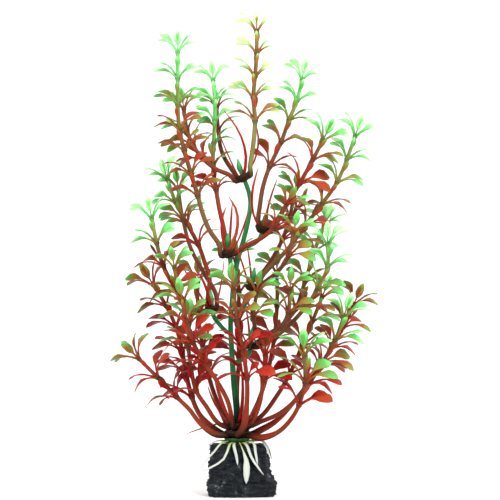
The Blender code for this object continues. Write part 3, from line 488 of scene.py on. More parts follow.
def leaf_block(spot, leaf):
    """A block round a leaf, from where its stalk is free of the joint to its tip.

    The spot is its joint's centre, the arm's direction there and the arm's radius.
    """
    line = leaf_line(*spot, leaf)
    _, tangent, _ = spot
    sections = leaf_sections(line, tangent, leaf.turn, leaf.length, CLEAR)
    across = (sections[0][1] - sections[0][0]) / 2
    half = sections[0][2]
    start = line[0].lerp(line[1], LEAF_START)
    rings = [[start - across - half, start + across - half,
              start + across + half, start - across + half]]
    for left, right, half in sections:
        rings.append([left - half, right - half, right + half, left + half])
    tip = line[3] + (line[3] - line[2]).normalized() * CLEAR
    across = across * BLOCK_TIP
    rings.append([tip - across - half, tip + across - half,
                  tip + across + half, tip - across + half])
    return loft_block(rings)


def fill_room_with_stems(room):
    """Everything but the leaves: stem, rings, strands, arms and the base."""
    low, high = (BASE_WIDTH * share for share in BASE_ROOM)
    room.add(rod_block(Vector(), UP * BASE_HEIGHT, low, high), "base", 0)
    for name, points in STEMS.items():
        for (x0, y0, z0, r0), (x1, y1, z1, r1) in zip(points, points[1:]):
            room.add(rod_block(Vector((x0, y0, z0)), Vector((x1, y1, z1)),
                               r0 * STEM_ROOM + CLEAR, r1 * STEM_ROOM + CLEAR), name, 0)
    for name, ring in RINGS.items():
        room.add(rod_block(ring_place(ring, 0, 0, -RING_HEIGHT / 2),
                           ring_place(ring, 0, 0, RING_HEIGHT / 2),
                           ring.radius * RING_ROOM, ring.radius * RING_ROOM), name, 0)
        for strand in STRANDS[name]:
            root, bend, tip = strand_line(ring, strand)
            room.add(rod_block(root, bend, strand.width, STRAND_THICKNESS), name, 0)
            room.add(rod_block(bend, tip, STRAND_THICKNESS, STRAND_THICKNESS / 2), name, 0)
    for arm in ARMS:
        points, tangents = arm_course(arm)
        for step, (start, end) in enumerate(zip(points, points[1:])):
            room.add(rod_block(start, end, arm_radius(arm, step) + CLEAR,
                               arm_radius(arm, step + 1) * JOINT_SWELL + CLEAR),
                     arm.name, step + 0.5)
        root, middle, tip = bud_line(arm, points[-1], tangents[-1])
        half_width = arm.leaf * BUD_SHARE * BUD_SLENDERNESS / 2 + CLEAR
        for start, end, *radii in ((root, middle, BUD_ENDS[0], half_width),
                                   (middle, tip, half_width, BUD_ENDS[1])):
            room.add(rod_block(start, end, *radii), arm.name, len(points) - 0.5)


def strand_line(ring, strand):
    """Root, bend and tip of a thin strand."""
    out, up = STRAND_START
    centre = Vector((ring.x, ring.y, ring.z))
    root = ring_place(ring, strand.side, ring.radius * out, RING_HEIGHT * up)
    return root, centre + Vector(strand.bend), centre + Vector(strand.tip)


def root_line(root):
    """A root's start on its ring, the places along it, and its tip."""
    foot = Vector((STEM_X, 0, BASE_HEIGHT + GAP))
    start = foot + heading(root.side) * ROOT_RING_RADIUS + UP * ROOT_RING_HEIGHT * ROOT_START
    return [start] + [Vector(point[:3]) for point in root.points]


def root_across(course, place):
    """The level direction across a root, which lies flat on the base wherever it runs."""
    return course.cross(place - Vector((0, 0, BASE_HEIGHT * ROOT_CENTRE))).normalized()


def place_leaves(room):
    """For each arm, its joints with the leaves that have room. They are added to the room.

    A joint's four leaves are turned together to where most of them are free. One that is not
    free is lifted, drooped or shortened, and left out if nothing helps.
    """
    fill_room_with_stems(room)
    placed = {}
    for order, arm in enumerate(ARMS):
        points, tangents = arm_course(arm)
        joints = []
        for step in range(arm.bare + 1, len(points)):
            share = (step - arm.bare) / (len(points) - arm.bare)
            length = arm.leaf * (1 - TOP_SHRINK * share)
            is_top = step == len(points) - 1
            lift = TOP_LIFT if is_top else 0.0
            lifts = SIDE_LIFTS if step % 2 else SIDE_LIFTS[2:] + SIDE_LIFTS[:2]
            base_turn = WHORL_TURN * ((step + order) % 3 - 1)
            spot = (points[step], tangents[step], arm_radius(arm, step))

            def free(leaf):
                return room.is_free(leaf_block(spot, leaf), arm.name, step)

            def free_count(turn):
                return sum(free(Leaf(base_turn + turn + side, length, lift + natural))
                           for side, natural in zip(SIDE_TURNS, lifts))

            turn = base_turn + max(TRIAL_TURNS, key=free_count)
            leaves = []
            for side, natural in zip(SIDE_TURNS, lifts):
                trials = [Leaf(turn + side, length * shorter, lift + natural + more)
                          for shorter in TRIAL_LENGTHS for more in TRIAL_LIFTS]
                leaf = next((trial for trial in trials if free(trial)), None)
                leaves.append(leaf)
            for leaf in filter(None, leaves):
                room.add(leaf_block(spot, leaf), arm.name, step)
            joints.append((step, turn, leaves))
        placed[arm.name] = joints
    return placed


# How finely the pieces are drawn
STEM_SPACING = 1.2           # between the sections of a stem
LEAST_ARM_SECTIONS = 4       # between two of its points
LEAST_STEM_SECTIONS = 2
ARM_SIDES = 10
STEM_SIDES = 14
ROUNDING = 0.84              # a round arm's radius over its square solid's corner
ARM_SINKS = 1.0              # how far an arm's foot goes into its collar
HUB_SIDES = 28
HUB_BORE = 0.9               # of a collar's bore over its solid's
HUB_LUMP_FINENESS = 0.4
BASE_CUTS = 47
STONE_EDGE_ANGLE = 35.0      # degrees between faces, past which an edge stays sharp
MERGE_WITHIN = 0.001         # vertices nearer than this become one
LINE_END = 0.9999            # so that a line's end is still on its last stretch

# A leaf, strand and root, root to tip: place along, width and thickness over the blade's
LEAF_PROFILE = ((0.0, 0.30, 1.7), (0.2, 0.17, 1.5), (0.36, 0.22, 1.3), (0.50, 0.68, 1.0),
                (0.64, 1.0, 0.9), (0.79, 0.94, 0.8), (0.92, 0.58, 0.7), (1.0, 0.10, 0.45))
LEAF_FOLD = 0.11             # how deep the midrib lies, over the leaf's width
FOLD_RUN = (0.4, 0.99)       # between these places along it
LEAF_SUNK = 0.4              # where a stalk starts inside its stem, over the stem's radius
# Where a blade starts to roll, to leave its stalk's tone and to take its tip's, and over
# which share of its length it does so
ROLL_RUN = (0.25, 0.4)
STALK_TONE_RUN = (0.2, 0.35)
TIP_TONE_RUN = (0.55, 0.4)
STRAND_PROFILE = ((0.0, 1.0, 1.0), (0.15, 0.9, 1.0), (0.3, 0.85, 1.0), (0.45, 0.82, 0.95),
                  (0.6, 0.78, 0.9), (0.75, 0.68, 0.8), (0.88, 0.5, 0.7), (1.0, 0.14, 0.4))
ROOT_PROFILE = ((0.0, 1.0, 1.0), (0.12, 0.95, 1.0), (0.25, 0.9, 1.0), (0.38, 0.87, 1.0),
                (0.5, 0.85, 1.0), (0.62, 0.82, 0.9), (0.75, 0.74, 0.9), (0.88, 0.58, 0.8),
                (1.0, 0.12, 0.5))
# A collar from its bore's foot round to its sunk top: (radius, height) over its own
HUB_PROFILE = ((0.66, 0.0), (0.84, 0.14), (1.06, 0.38), (1.26, 0.70), (1.32, 0.92), (1.22, 1.04),
               (0.84, 1.0), (0.60, 0.84))
STRAND_PLACES = (0, 0.25, 0.5, 0.75, 1)     # shares of a strand's bow that it is drawn through
STRAND_SUNK = (0.6, 0.8)     # how far in and down a strand starts inside its collar
STRAND_WIDENING = 1.6        # over its solid's width, because its profile narrows it
STRAND_TWIST = 25            # degrees
ROOT_SUNK = 2.0              # how far in a root starts inside its ring
ROOT_THINNING = 0.8          # of its thickness over its solid's
SPOON_ROOT_WIDTH = 3         # wider roots end in a spoon, like a leaf
STONE_LUMPS = ((0.35, 1.0), (0.9, 0.5), (2.2, 0.3))   # fineness and depth
RIDGE_RUN = 0.12             # level ridges: long along the block, fine up it
RIDGE_FINENESS = 0.75
RIDGE_DEPTH = 1.3
BOTTOM_TUCK = 0.05           # how far the block's lower rim draws in
BOTTOM_TUCK_HEIGHT = 0.12    # over its height
RIM = 0.01                   # the share of its height at its flat foot, and at its top
TOP_LUMP = 0.4               # how far the top's lumps rise at most

# How places are turned into numbers that differ from place to place
SPREAD_START = 0.37
SPREAD_STEP = 7.31
SPREAD_REACH = 1.6

# How ripe the plastic's colour is, from deep red at 0 to pale green at 1, for the leaves and
# the stem at each arm's foot and tip, and the share of its length about which they turn. A
# leaf's stalk has its stem's tone.
TONE_WIDTH = 0.5             # the share of an arm over which its tones turn
TIP_RIPER = 0.25             # a blade's tip over its middle
REDDEST_TONE = 0.4           # a blade redder than this ripens less to its tip
LEAF_TONE_SPREAD = 0.11      # how far leaves differ
WHORL_TONE_SPREAD = 0.08     # and whole whorls
SMALL_RIPENESS = 0.85        # of a small leaf over its whorl's
YELLOW_SMALL_RIPENESS = 0.55     # and of one on a yellow arm
STRAND_TONE = 0.10
STRAND_TONE_SPREAD = 0.1
STRAND_TIP_RIPER = 0.1
HUB_TONE = 0.5
# The root collar takes the darkest root colour: painted shade under the lowest rings
SHADED_ROOT_RING_TONE = 0.0
ROOT_TONES = (0.2, 0.8, 1.0)     # at a root's start, its middle and its tip
DARK_FOOT = 10.0             # how far up an arm the painted shade at its collar reaches
LOW_DARK_FOOT = 19.0         # and up the arms that grow at the plant's foot
JOINT_SHADE = 0.5            # how much darker a joint is
Tone = namedtuple("Tone", "leaf_foot leaf_tip stem_foot stem_tip turn")
TONES = {
    "crown_leader_arm": Tone(0.42, 0.96, 0.54, 0.48, 0.52),
    "crown_left_arm": Tone(0.30, 0.66, 0.16, 0.36, 0.70),
    "crown_back_arm": Tone(0.36, 0.66, 0.20, 0.36, 0.60),
    "upper_right_tall_arm": Tone(0.30, 1.00, 0.30, 0.85, 0.76),
    "upper_right_front_arm": Tone(0.16, 0.97, 0.14, 0.62, 0.88),
    "upper_right_low_arm": Tone(0.10, 0.45, 0.10, 0.15, 0.80),
    "upper_left_tall_arm": Tone(0.26, 0.97, 0.40, 0.90, 0.82),
    "upper_left_back_arm": Tone(0.08, 0.92, 0.10, 0.88, 0.58),
    "upper_left_crossing_arm": Tone(0.14, 0.48, 0.08, 0.20, 0.70),
    "left_tall_arm": Tone(0.14, 0.95, 0.10, 0.65, 0.74),
    "left_outer_arm": Tone(0.16, 0.97, 0.10, 0.75, 0.78),
    "left_front_arm": Tone(0.26, 0.62, 0.33, 0.46, 0.66),
    "left_back_arm": Tone(0.20, 0.70, 0.22, 0.42, 0.72),
    "right_long_arm": Tone(0.28, 0.97, 0.42, 0.70, 0.80),
    "right_front_arm": Tone(0.24, 0.66, 0.18, 0.36, 0.72),
    "right_back_arm": Tone(0.22, 0.60, 0.20, 0.32, 0.72),
    "middle_outer_arm": Tone(0.18, 0.97, 0.38, 0.70, 0.70),
    "middle_back_arm": Tone(0.26, 0.92, 0.32, 0.60, 0.72),
    "middle_front_arm": Tone(0.26, 0.56, 0.24, 0.34, 0.60),
    "middle_right_arm": Tone(0.22, 0.58, 0.20, 0.34, 0.60),
    "foot_left_tall_arm": Tone(0.06, 0.50, 0.10, 0.30, 0.88),
    "foot_left_low_arm": Tone(0.02, 0.58, 0.12, 0.35, 0.88),
    "foot_left_front_arm": Tone(0.03, 0.66, 0.10, 0.40, 0.74),
    "foot_left_back_arm": Tone(0.05, 0.62, 0.10, 0.30, 0.80),
    "foot_right_front_arm": Tone(0.10, 0.74, 0.07, 0.50, 0.80),
    "foot_right_tall_arm": Tone(0.15, 0.45, 0.07, 0.28, 0.85),
    "foot_right_back_arm": Tone(0.12, 0.80, 0.12, 0.42, 0.78),
    "foot_right_middle_arm": Tone(0.13, 0.92, 0.14, 0.58, 0.81),
    "foot_front_arm": Tone(0.03, 0.58, 0.10, 0.35, 0.78),
    "foot_front_right_arm": Tone(0.02, 0.32, 0.08, 0.15, 0.85),
    "foot_back_left_arm": Tone(0.05, 0.50, 0.12, 0.30, 0.78),
    "foot_back_right_arm": Tone(0.06, 0.60, 0.12, 0.35, 0.78),
    "foot_back_arm": Tone(0.10, 0.60, 0.12, 0.36, 0.76),
}
RED_RINGS = ("foot_lower", "foot_upper", "middle")      # whose arms have the red slot
YELLOW_ARMS = ("crown_leader_arm",)     # their leaves ripen to yellow

# The small leaves that stand between the four of each whorl, at its back and front
SMALL_TURNS = (90, 270)
SMALL_TRIAL_TURNS = (0, 14, -14)
SMALL_LEAF_SHARE = 0.66      # of the length of the whorl's other leaves
SMALL_WIDTH_SHARE = 0.52     # of their width over their length
SMALL_LIFT = 0.95            # they stand up
SMALL_MARGIN = 4.8           # how far inside the solids' box their middle lines stay
LEAF_ROLL_SPREAD = 9.0       # degrees by which the leaves' rolls differ
TIP_DRAWN_IN = 0.05          # of a blade's outer half, so that its tip stays in its solid's

# Colour stops, each a ripeness from 0 to 1 and a linear colour
LEAF_COLOURS = (
    (0.00, (0.21, 0.003, 0.004)), (0.10, (0.31, 0.012, 0.008)), (0.20, (0.34, 0.036, 0.014)),
    (0.32, (0.24, 0.050, 0.015)), (0.42, (0.24, 0.095, 0.022)), (0.51, (0.24, 0.19, 0.030)),
    (0.60, (0.15, 0.25, 0.045)), (0.73, (0.10, 0.40, 0.08)), (0.87, (0.18, 0.64, 0.17)),
    (1.00, (0.46, 0.88, 0.40)))
YELLOW_LEAF_COLOURS = (
    (0.00, (0.22, 0.02, 0.012)), (0.30, (0.30, 0.05, 0.02)), (0.46, (0.28, 0.085, 0.028)),
    (0.57, (0.30, 0.18, 0.04)), (0.68, (0.30, 0.40, 0.10)), (0.80, (0.36, 0.66, 0.22)),
    (0.90, (0.52, 0.82, 0.34)), (1.00, (0.72, 0.90, 0.48)))
ARM_COLOURS = (
    (0.00, (0.12, 0.016, 0.007)), (0.08, (0.23, 0.026, 0.009)), (0.20, (0.15, 0.036, 0.016)),
    (0.36, (0.14, 0.055, 0.022)), (0.50, (0.16, 0.11, 0.03)), (0.66, (0.20, 0.26, 0.06)),
    (0.82, (0.15, 0.50, 0.13)), (1.00, (0.28, 0.75, 0.28)))
ARM_SHADE_COLOUR = (0.022, 0.009, 0.005)     # painted shade at its foot, and the own dark colour of its joints
# Its darkest stops serve the painted shade at the stem's foot
STEM_COLOURS = ((0.0, (0.003, 0.015, 0.007)), (0.3, (0.010, 0.055, 0.017)),
                (0.6, (0.022, 0.150, 0.042)), (1.0, (0.06, 0.36, 0.10)))
HUB_COLOURS = ((0.0, (0.008, 0.005, 0.003)), (0.5, (0.022, 0.010, 0.005)),
               (1.0, (0.06, 0.022, 0.010)))
HUB_ROUGHNESS = 0.5          # how far its lumps stand out
# The darkest stop is painted shade, on the root collar
ROOT_COLOURS = ((0.0, (0.02, 0.05, 0.02)), (0.12, (0.10, 0.20, 0.05)), (0.3, (0.36, 0.46, 0.17)),
                (0.5, (0.44, 0.49, 0.39)), (1.0, (0.45, 0.48, 0.46)))
# The pale top stops are painted glints on the grit's specks
STONE_COLOURS = ((0.0, (0.002, 0.003, 0.004)), (0.5, (0.006, 0.008, 0.010)),
                 (0.68, (0.012, 0.015, 0.018)), (0.8, (0.06, 0.065, 0.07)),
                 (1.0, (0.3, 0.31, 0.33)))

# How each plastic looks: its clouds' fineness and depth, its roughness, how much light goes
# into it, and how strong its ripple is
Looks = namedtuple("Looks", "cloud_size cloud_amount roughness subsurface bump")
LEAF_LOOKS = Looks(160.0, 0.2, 0.38, 0.25, 0.12)
ARM_LOOKS = Looks(90.0, 0.2, 0.4, 0.0, 0.15)
STEM_LOOKS = Looks(60.0, 0.8, 0.38, 0.1, 0.2)
HUB_LOOKS = Looks(200.0, 0.9, 0.45, 0.0, 0.3)
ROOT_LOOKS = Looks(150.0, 0.2, 0.4, 0.4, 0.15)
FINISH_DEFAULTS = {"Cloud Size": 90.0, "Cloud Amount": 0.12, "Roughness": 0.4,
                   "Ripple Size": 900.0}
UNEVEN_GLOSS = 0.35          # how far the clouds change a plastic's roughness
PLASTIC_RIPPLE = 0.1         # how deep it is at most
PLASTIC = {"IOR": 1.46, "Specular IOR Level": 0.1, "Subsurface Radius": (1.0, 0.7, 0.4),
           "Subsurface Scale": 1.2 * MM}
GRIT_FINENESS = 1500.0
PATCH_FINENESS = 220.0       # of the stone's patches with less grit
GRIT_AND_GLINT_SPREAD = 2.0            # how far the grit's dark and its pale specks, which are painted glints, are drawn apart
GRIT_GLINT = 0.5             # how much glossier the grit is
STONE_ROUGHNESS = 0.85
STONE_SPECULAR = 0.15
STONE_BUMP = 0.8
STONE_PITS = 0.5             # how deep they are at most

# The studio, in metres
PAPER_FINENESS = 60.0
PAPER_COLOURS = ((0.3, (0.93, 0.93, 0.93)), (0.7, (0.95, 0.95, 0.95)))
PAPER = {"Roughness": 0.9, "Specular IOR Level": 0.1, "Emission Color": (1, 1, 1, 1),
         "Emission Strength": 0.12}
FLOOR_SIZE = 6.0
BACKDROP_HEIGHT = 4.0
BACKDROP_CURVE = 1.2
BACKDROP_STEPS = 16
LAMP_TARGET = (0, 0, 0.15)
# Each lamp's place, size and power
LAMPS = {"key_lamp": ((0.7, -1.2, 1.3), 0.7, 36), "fill_lamp": ((-1.2, -1.0, 0.6), 1.0, 9)}

# The green stem's tones: dark at its foot, which is painted shade among the lowest arms, and
# bright at its pegs' tips
STEM_SHADED_FOOT_TONE = 0.05
STEM_TONE = 0.6
STEM_SHADED_BELOW = 44.0       # this height
STEM_TURNS_OVER = 34.0       # and turns to its own tone over this much more
PEG_TIP_LENGTH = 6.0         # over which a peg's tip gets bright
PEG_TIP_REACH = 1.3          # how far from its end it starts to, over that length
PEG_TIP_BRIGHTER = 0.35


# Materials

def new_group(name, inputs, outputs):
    """An empty shader group with number sockets: {name: default} in, and names out."""
    group = bpy.data.node_groups.new(name, "ShaderNodeTree")
    for key, value in inputs.items():
        socket = group.interface.new_socket(key, in_out="INPUT", socket_type="NodeSocketFloat")
        socket.default_value = value
    for key in outputs:
        group.interface.new_socket(key, in_out="OUTPUT", socket_type="NodeSocketFloat")
    return group, group.nodes.new("NodeGroupInput"), group.nodes.new("NodeGroupOutput")


def node(tree, kind, **values):
    """A node of a kind, with its own properties set."""
    made = tree.nodes.new(kind)
    for key, value in values.items():
        setattr(made, key, value)
    return made


def feed(tree, made, values):
    """Set a node's inputs, each to a value or to another node's output."""
    for key, value in values.items():
        if isinstance(value, bpy.types.NodeSocket):
            tree.links.new(value, made.inputs[key])
        else:
            made.inputs[key].default_value = value


def math_node(tree, operation, first, second, clamp=False):
    """A Math node whose inputs are sockets or numbers. Returns its output."""
    made = node(tree, "ShaderNodeMath", operation=operation, use_clamp=clamp)
    feed(tree, made, {0: first, 1: second})
    return made.outputs[0]


def noise_node(tree, coordinates, scale, detail=2.0, roughness=0.5):
    """A Noise Texture whose scale is a socket or a number. Returns its value."""
    made = node(tree, "ShaderNodeTexNoise")
    feed(tree, made, {"Vector": coordinates, "Scale": scale, "Detail": detail,
                      "Roughness": roughness})
    return made.outputs["Fac"]


def ramp_node(tree, fac, stops):
    """A colour ramp through (place, linear colour) stops."""
    made = node(tree, "ShaderNodeValToRGB")
    ramp = made.color_ramp
    while len(ramp.elements) < len(stops):
        ramp.elements.new(0.5)
    for element, (place, colour) in zip(ramp.elements, stops):
        element.position = place
        element.color = (*colour, 1)
    tree.links.new(fac, made.inputs["Fac"])
    return made.outputs["Color"]


def moulded_finish_group():
    """Moulded plastic: cloudy colour, uneven gloss and a faint ripple.

    Out: Cloud is near 0 and goes both ways, for the ripeness. Roughness and Height are values.
    """
    group, start, end = new_group("moulded_finish", FINISH_DEFAULTS,
                                  ("Cloud", "Roughness", "Height"))
    place = node(group, "ShaderNodeTexCoord").outputs["Object"]
    cloud = noise_node(group, place, start.outputs["Cloud Size"], detail=3.0)
    centred = math_node(group, "SUBTRACT", cloud, 0.5)
    uneven = math_node(group, "MULTIPLY", centred, UNEVEN_GLOSS)
    feed(group, end, {
        "Cloud": math_node(group, "MULTIPLY", centred, start.outputs["Cloud Amount"]),
        "Roughness": math_node(group, "ADD", start.outputs["Roughness"], uneven, clamp=True),
        "Height": noise_node(group, place, start.outputs["Ripple Size"])})
    return group


def new_material(name):
    """A material with its node tree and its shader."""
    made = bpy.data.materials.new(name)
    made.use_nodes = True
    return made, made.node_tree, made.node_tree.nodes["Principled BSDF"]


def bumped(tree, height, strength, distance):
    """The normal that a height gives, with its distance in millimetres."""
    made = node(tree, "ShaderNodeBump")
    feed(tree, made, {"Height": height, "Strength": strength, "Distance": distance * MM})
    return made.outputs["Normal"]


def plastic(name, finish_group, stops, looks, shade_colour=None):
    """A moulded plastic whose colour follows the ripeness that each piece carries.

    With a shade colour, the piece also carries its shade, from that colour at 0 to none at 1.
    """
    made, tree, shader = new_material(name)
    finish = node(tree, "ShaderNodeGroup", node_tree=finish_group)
    feed(tree, finish, {"Cloud Size": looks.cloud_size, "Cloud Amount": looks.cloud_amount,
                        "Roughness": looks.roughness})
    ripe = node(tree, "ShaderNodeAttribute", attribute_name="ripeness").outputs["Fac"]
    clouded = math_node(tree, "ADD", ripe, finish.outputs["Cloud"], clamp=True)
    colour = ramp_node(tree, clouded, stops)
    if shade_colour:
        mix = node(tree, "ShaderNodeMix", data_type="RGBA")
        shade = node(tree, "ShaderNodeAttribute", attribute_name="shade").outputs["Fac"]
        feed(tree, mix, {"Factor": shade, "A": (*shade_colour, 1), "B": colour})
        colour = mix.outputs["Result"]
    feed(tree, shader, {
        "Base Color": colour, "Roughness": finish.outputs["Roughness"],
        "Normal": bumped(tree, finish.outputs["Height"], looks.bump, PLASTIC_RIPPLE),
        "Subsurface Weight": looks.subsurface, **PLASTIC})
    return made


def stone_material():
    """Rough black cast stone: near black, with pale grey grit specks that are painted glints, and
    a matt, pitted skin.
    """
    made, tree, shader = new_material("cast_stone")
    place = node(tree, "ShaderNodeTexCoord").outputs["Object"]
    grit = noise_node(tree, place, GRIT_FINENESS, detail=3.0, roughness=0.7)
    patches = noise_node(tree, place, PATCH_FINENESS)
    mixed = math_node(tree, "MULTIPLY", grit, patches)
    # The grit's strongest specks reach the pale stops: painted glints
    grit_and_painted_glints = math_node(tree, "MULTIPLY", mixed, GRIT_AND_GLINT_SPREAD, clamp=True)
    worn = math_node(tree, "MULTIPLY", grit, -GRIT_GLINT)
    feed(tree, shader, {
        "Base Color": ramp_node(tree, grit_and_painted_glints, STONE_COLOURS),
        "Roughness": math_node(tree, "ADD", worn, STONE_ROUGHNESS, clamp=True),
        "Specular IOR Level": STONE_SPECULAR,
        "Normal": bumped(tree, grit, STONE_BUMP, STONE_PITS)})
    return made


# Making: small helpers

def deselect_all():
    bpy.ops.object.select_all(action="DESELECT")


def make_active(piece):
    """Select one piece alone, ready for an operator."""
    deselect_all()
    piece.select_set(True)
    bpy.context.view_layer.objects.active = piece


def new_primitive(add, name, **values):
    """A primitive, alone selected, whose place is in its mesh."""
    deselect_all()
    add(**values)
    piece = bpy.context.object
    piece.name = name
    bpy.ops.object.transform_apply(location=True, rotation=True, scale=True)
    return piece


def begin_edit():
    """Enter edit mode with all of the active piece selected."""
    bpy.ops.object.mode_set(mode="EDIT")
    bpy.ops.mesh.select_all(action="SELECT")


def end_edit():
    """Leave edit mode with the faces outwards and smooth."""
    bpy.ops.mesh.select_all(action="SELECT")
    bpy.ops.mesh.normals_make_consistent(inside=False)
    bpy.ops.object.mode_set(mode="OBJECT")
    bpy.ops.object.shade_smooth()


def pick(piece, test):
    """In edit mode, select exactly the vertices whose place passes a test."""
    shape = bmesh.from_edit_mesh(piece.data)
    for vert in shape.verts:
        vert.select = test(vert.co)
    shape.select_flush(True)
    bmesh.update_edit_mesh(piece.data)


def smooth_step(value):
    """A value kept from 0 to 1, which leaves and reaches both gently."""
    value = min(1.0, max(0.0, value))
    return value * value * (3 - 2 * value)


def risen(place, start, run):
    """A smooth rise from 0 at a start to 1 at a run past it."""
    return smooth_step((place - start) / run)


def spread(*numbers):
    """A repeatable number from -1 to 1 that differs from place to place."""
    spot = [SPREAD_START + SPREAD_STEP * number for number in (*numbers, 0, 0)]
    return noise.noise(Vector(spot[:3])) * SPREAD_REACH


def between(points, slopes, share):
    """A place and a direction on the smooth line through points, at a share from 0 to 1."""
    position = min(share, LINE_END) * (len(points) - 1)
    step = int(position)
    t = position - step
    start, end = points[step], points[step + 1]
    size = (end - start).length
    leave, arrive = slopes[step] * size, slopes[step + 1] * size
    place = (start * (2 * t**3 - 3 * t**2 + 1) + leave * (t**3 - 2 * t**2 + t)
             + end * (3 * t**2 - 2 * t**3) + arrive * (t**3 - t**2))
    course = (start * (6 * t**2 - 6 * t) + leave * (3 * t**2 - 4 * t + 1)
              + end * (6 * t - 6 * t**2) + arrive * (3 * t**2 - 2 * t))
    return place, course.normalized()


def set_values(mesh, name, values):
    """Give each vertex of a mesh a value that a material follows, such as its ripeness."""
    layer = mesh.attributes.new(name, "FLOAT", "POINT")
    layer.data.foreach_set("value", values)


# Making: leaves

def make_blade_master(name, profile, fold):
    """A blade 1 long, 1 wide and 1 thick along +X: a bar cut at stations and drawn in at each.

    The profile has (place along, width, thickness) per station, and the fold lowers its
    midrib between the stalk's end and the tip.
    """
    blade = new_primitive(bpy.ops.mesh.primitive_cylinder_add, name, vertices=8, radius=0.5,
                          depth=1, end_fill_type="NGON", location=(0.5, 0, 0),
                          rotation=(0, math.pi / 2, 0))
    bpy.ops.object.mode_set(mode="EDIT")
    for station, _, _ in profile[1:-1]:
        bpy.ops.mesh.select_all(action="SELECT")
        bpy.ops.mesh.bisect(plane_co=(station, 0, 0), plane_no=(1, 0, 0))
    for station, width, thickness in profile:
        pick(blade, lambda place: abs(place.x - station) < 0.001)
        bpy.ops.transform.resize(value=(1, width, thickness), center_override=(station, 0, 0))
        if fold and FOLD_RUN[0] < station < FOLD_RUN[1]:
            pick(blade, lambda place: abs(place.x - station) < 0.001 and abs(place.y) < 0.1)
            bpy.ops.transform.translate(value=(0, 0, -fold * width))
    end_edit()
    return blade


def lay_blade(master, name, line, level, sizes, rolls, tones):
    """A copy of a blade master, bent along a line.

    "level" gives the direction across it for a course and a place, "sizes" are its width and
    thickness, "rolls" the turn about its own length at its root and from its widest place
    on, in degrees, and "tones" its ripeness at the root, the blade's middle and the tip.
    """
    blade = master.copy()
    blade.data = master.data.copy()
    blade.name = name
    bpy.context.collection.objects.link(blade)
    slopes = natural_slopes(line)
    width, thickness = sizes
    ripeness = []
    for vert in blade.data.vertices:
        along, aside, above = vert.co
        place, course = between(line, slopes, along)
        roll = rolls[0] + (rolls[1] - rolls[0]) * risen(along, *ROLL_RUN)
        across = Matrix.Rotation(math.radians(roll), 3, course) @ level(course, place)
        across = (across - course * across.dot(course)).normalized()
        normal = course.cross(across)
        vert.co = place + across * aside * width + normal * above * thickness
        root, middle, tip = tones
        ripeness.append(root + (middle - root) * risen(along, *STALK_TONE_RUN)
                        + (tip - middle) * risen(along, *TIP_TONE_RUN))
    set_values(blade.data, "ripeness", ripeness)
    return blade


def blade_tones(stalk, blade):
    """A leaf's ripeness at its stalk, its middle and its tip. A red leaf stays red."""
    return stalk, blade, blade + TIP_RIPER * smooth_step(blade / REDDEST_TONE)


def make_leaf(masters, arm, spot, leaf, tones, is_small):
    """A leaf of a whorl, in the place of its solid."""
    centre, tangent, radius = spot
    line = leaf_line(*spot, leaf)
    line[0] = centre + outward(tangent, leaf.turn) * radius * LEAF_SUNK
    line[3] = line[3].lerp(line[2], TIP_DRAWN_IN)
    level = tangent.cross(outward(tangent, leaf.turn)).normalized()
    wobble = spread(centre.x, centre.z, leaf.turn)
    width = LEAF_SLENDERNESS * leaf.length * (SMALL_WIDTH_SHARE if is_small else 1)
    sizes = (width, LEAF_THICKNESS)
    stalk, blade = tones[0], tones[1] + LEAF_TONE_SPREAD * wobble
    if is_small:
        blade *= YELLOW_SMALL_RIPENESS if arm.name in YELLOW_ARMS else SMALL_RIPENESS
    return lay_blade(masters["leaf"], f"{arm.name}_leaf", line, lambda *_: level, sizes,
                     (0, LEAF_ROLL + LEAF_ROLL_SPREAD * wobble),
                     blade_tones(stalk, blade))


# Making: arms

def tones_at(arm_name, share):
    """The ripeness of an arm's stem and of its leaves at a share of its length."""
    tone = TONES[arm_name]
    turned = smooth_step((share - tone.turn) / TONE_WIDTH + 0.5)
    return (tone.stem_foot + (tone.stem_tip - tone.stem_foot) * turned,
            tone.leaf_foot + (tone.leaf_tip - tone.leaf_foot) * turned)


def draw_stem(name, samples, sides=ARM_SIDES):
    """A round stem as a mesh, through (place, radius) samples."""
    curve = bpy.data.curves.new(name, "CURVE")
    curve.dimensions = "3D"
    curve.bevel_depth = 1.0
    curve.bevel_resolution = (sides - 4) // 2
    curve.use_fill_caps = True
    spline = curve.splines.new("POLY")
    spline.points.add(len(samples) - 1)
    for point, (place, radius) in zip(spline.points, samples):
        point.co = (*place, 1)
        point.radius = radius
    stem = bpy.data.objects.new(name, curve)
    bpy.context.collection.objects.link(stem)
    make_active(stem)
    bpy.ops.object.convert(target="MESH")
    begin_edit()
    bpy.ops.mesh.remove_doubles(threshold=MERGE_WITHIN)
    end_edit()
    return bpy.context.object


def values_by_place(stem, samples, tones, shades):
    """Give a stem's vertices the tone and shade of the sample that they stand round."""
    finder = KDTree(len(samples))
    for number, (place, _) in enumerate(samples):
        finder.insert(place, number)
    finder.balance()
    nearest = [finder.find(vert.co)[1] for vert in stem.data.vertices]
    set_values(stem.data, "ripeness", [tones[number] for number in nearest])
    set_values(stem.data, "shade", [shades[number] for number in nearest])


